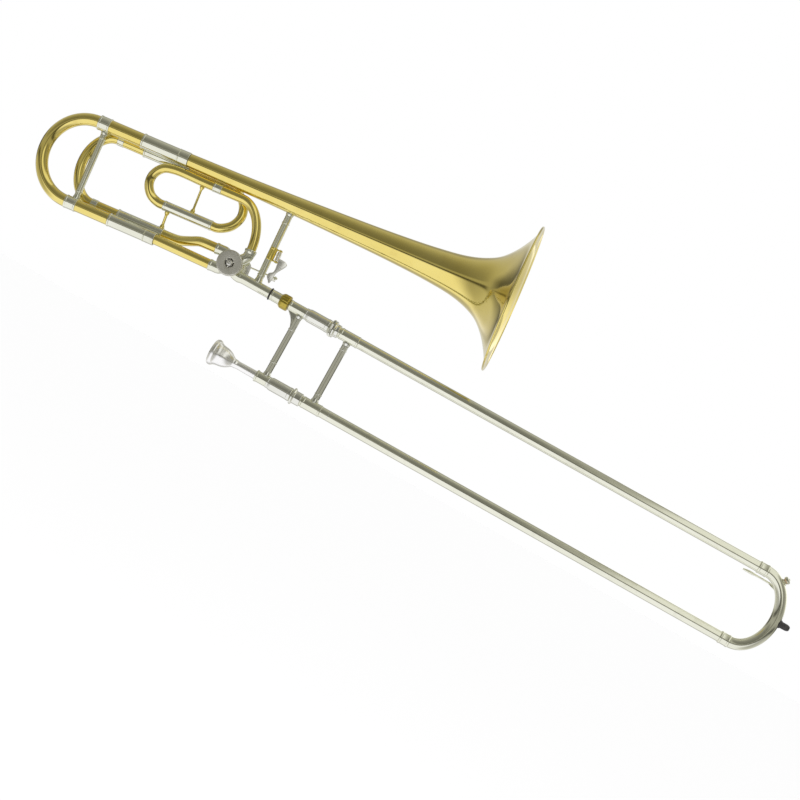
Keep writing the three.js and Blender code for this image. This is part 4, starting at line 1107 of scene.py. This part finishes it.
reach = CROWN_X + CROWN_DEPTH
base = turned([(reach + 6, 0), (reach + 6, 6.2), (reach + 8.4, 5.6), (reach + 9.8, 4.9), (reach + 9.8, 0)],
              0.5, 48)
piece("bumper_seat", [moved(base, at(z=crown_middle))], "rubber", "outer_slide")
tip = turned(
    [(reach + 8.2, 0), (reach + 8.2, 4.3), (reach + 10, 4.5), (reach + 17.4, 4.5), (reach + 20.4, 3.6),
     (reach + 21.7, 2.4), (reach + 21.7, 0)], 0.9, 48)
piece("bumper_tip", [moved(tip, at(z=crown_middle))], "rubber", "outer_slide", "crown_bumper")

# ---- mouthpiece ----


def mouthpiece():
    """Rim, cup, throat and backbore, with the shank tapering into the receiver."""
    outside = [
        (-52.6, 18.35), (-50.6, 18.6), (-48.4, 18.0), (-46.6, 16.4), (-43.4, 14.9), (-39.5, 14.3),
        (-34, 13.3), (-28.5, 11.0), (-24, 8.0), (-21.6, 6.5), (-19.6, 6.1), (-18, 6.2), (-16, 5.6),
        (-6, 5.6), (12, 5.9), (14, 6.05), (38, 5.45),
    ]
    inside = [
        (-52.6, 18.35), (-54.2, 17.5), (-55.3, 15.8), (-55.4, 14.6), (-54.4, 13.2), (-52.4, 12.6),
        (-47, 12.0), (-41, 10.6), (-35, 8.0), (-31, 5.2), (-28.4, 3.5), (-24, 3.2), (-12, 3.6), (38, 5.0),
    ]
    outer_line = spline(*outside, spacing=0.9)
    inner_line = spline(*inside, spacing=0.9)
    return revolved([*outer_line, *reversed(inner_line[1:])], 96)


piece("mouthpiece_cup", [moved(mouthpiece(), at(z=LOWER_Z))], "silver", "mouthpiece", "mouthpiece", sharp=50)

# ---- floor, light and camera ----

low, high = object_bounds()
floor_mesh = bpy.data.meshes.new("floor")
size, drop = 30, low.z - 1.1
floor_mesh.from_pydata([(-size, -size, drop), (size, -size, drop), (size, size, drop), (-size, size, drop)],
                       [], [[0, 1, 2, 3]])
floor = bpy.data.objects.new("floor", floor_mesh)
bpy.context.scene.collection.objects.link(floor)
pale = bpy.data.materials.new("pale_floor")
pale.use_nodes = True
pale.node_tree.nodes["Principled BSDF"].inputs["Base Color"].default_value = (0.985, 0.985, 0.985, 1)
pale.node_tree.nodes["Principled BSDF"].inputs["Roughness"].default_value = 1
pale.node_tree.nodes["Principled BSDF"].inputs["Specular IOR Level"].default_value = 0
floor_mesh.materials.append(pale)
floor.visible_glossy = False


WARM = (1.0, 0.985, 0.90)
NEUTRAL = (1.0, 1.0, 1.0)
COOL = (1.0, 1.0, 1.09)


def studio():
    """White to the eye and as soft light. Reflections, nearly all on metal, show a light and dark room."""
    world = bpy.data.worlds.new("studio")
    bpy.context.scene.world = world
    world.use_nodes = True
    tree = world.node_tree
    tree.nodes.clear()

    def node(kind):
        return tree.nodes.new("ShaderNode" + kind)

    def rise(value, low, high):
        """0 below the low value and 1 above the high one, with a soft step between them."""
        step = node("MapRange")
        step.interpolation_type = "SMOOTHSTEP"
        step.inputs["From Min"].default_value, step.inputs["From Max"].default_value = low, high
        tree.links.new(value, step.inputs["Value"])
        return step.outputs["Result"]

    def calculate(operation, first, second):
        math_node = node("Math")
        math_node.operation = operation
        for socket, value in zip(math_node.inputs, (first, second)):
            if isinstance(value, (int, float)):
                socket.default_value = value
            else:
                tree.links.new(value, socket)
        return math_node.outputs["Value"]

    def less(value):
        return calculate("SUBTRACT", 1, value)

    def times(first, *others):
        for other in others:
            first = calculate("MULTIPLY", first, other)
        return first

    def blend(under, share, level, start=0.0, tint=WARM):
        mix = node("Mix")
        mix.data_type = "RGBA"
        tree.links.new(share, mix.inputs["Factor"])
        mix.inputs["A"].default_value = (*(start * c for c in tint), 1)
        if under:
            tree.links.new(under, mix.inputs["A"])
        mix.inputs["B"].default_value = (*(level * c for c in tint), 1)
        return mix.outputs["Result"]

    parts = node("SeparateXYZ")
    tree.links.new(node("TexCoord").outputs["Generated"], parts.inputs["Vector"])
    x, y, z = (parts.outputs[axis] for axis in "XYZ")
    steep, wide = calculate("ABSOLUTE", z, 0), calculate("ABSOLUTE", x, 0)
    level_band = less(rise(steep, 0.03, 0.12))
    right_window = times(rise(z, 0.02, 0.15), less(rise(x, 0.4, 0.6)))
    level = blend(None, rise(y, -1.1, 0.7), 0.56, 0.19)
    level = blend(level, times(rise(x, 0.0, 0.08), right_window), 0.42)
    level = blend(level, times(rise(x, 0.105, 0.15), right_window), 0.92, tint=NEUTRAL)
    level = blend(level, times(less(rise(z, -0.30, -0.17)), less(times(rise(wide, 0.35, 0.7), 0.75))), 1.03,
                  tint=COOL)
    level = blend(level, times(rise(z, -0.22, -0.16), less(rise(z, -0.08, -0.02)), less(rise(y, -0.4, 0.1))),
                  0.09)
    level = blend(level, times(rise(wide, 0.03, 0.2), level_band, less(rise(y, -0.25, 0.2))), 0.42)
    level = blend(level, times(less(rise(steep, 0.05, 0.27)), rise(y, -0.1, 0.35)), 0.12)
    level = blend(level, times(rise(y, 0.34, 0.62), less(rise(wide, 0.3, 0.5)), 0.6), 0.24)
    level = blend(level, rise(y, 0.82, 0.94), 0.70)
    room, seen = node("Background"), node("Background")
    tree.links.new(level, room.inputs["Color"])
    seen.inputs["Color"].default_value = (1, 1, 1, 1)
    mix = node("MixShader")
    tree.links.new(node("LightPath").outputs["Is Glossy Ray"], mix.inputs["Fac"])
    tree.links.new(seen.outputs["Background"], mix.inputs[1])
    tree.links.new(room.outputs["Background"], mix.inputs[2])
    tree.links.new(mix.outputs["Shader"], node("OutputWorld").inputs["Surface"])


studio()


def soft_light(name, position, target, width, height, power, in_metal=False):
    data = bpy.data.lights.new(name, "AREA")
    data.shape = "RECTANGLE"
    data.size, data.size_y, data.energy = width, height, power
    thing = bpy.data.objects.new(name, data)
    thing.location = position
    thing.rotation_euler = (Vector(target) - Vector(position)).to_track_quat("-Z", "Y").to_euler()
    thing.visible_camera, thing.visible_glossy = False, in_metal
    bpy.context.scene.collection.objects.link(thing)


CENTRE = Vector((0.1999, 0, -0.0395))
CAMERA_SIDE = math.radians(4.8)
CAMERA_ROLL = math.radians(29.25)
CAMERA_DISTANCE = 2.5
VIEW_WIDTH = 1.072
SENSOR = 36
toward = Vector((math.sin(CAMERA_SIDE), -math.cos(CAMERA_SIDE), 0))
across = Vector((math.cos(CAMERA_SIDE), math.sin(CAMERA_SIDE), 0))
right = across * math.cos(CAMERA_ROLL) + Vector((0, 0, math.sin(CAMERA_ROLL)))
up = Vector((0, 0, math.cos(CAMERA_ROLL))) - across * math.sin(CAMERA_ROLL)

soft_light("key", (-0.7, -1.6, 1.5), (0.1, 0, 0), 0.5, 0.5, 14)
soft_light("fill", (1.5, -1.4, 0.5), (0.6, 0, -0.05), 0.9, 0.9, 12)
soft_light("bell_card", (0.80, 0.42, 0.14), (0.28, 0, 0.15), 0.8, 0.34, 0.5, in_metal=True)

camera_data = bpy.data.cameras.new("camera")
camera_data.sensor_width = SENSOR
camera_data.lens = SENSOR * CAMERA_DISTANCE / VIEW_WIDTH
camera_data.clip_start, camera_data.clip_end = 0.05, 200
camera = bpy.data.objects.new("camera", camera_data)
bpy.context.scene.collection.objects.link(camera)
turn = Matrix((right, up, toward)).transposed()
camera.matrix_world = Matrix.Translation(CENTRE + toward * CAMERA_DISTANCE) @ turn.to_4x4()
bpy.context.scene.camera = camera
bpy.context.scene.view_settings.view_transform = "Standard"
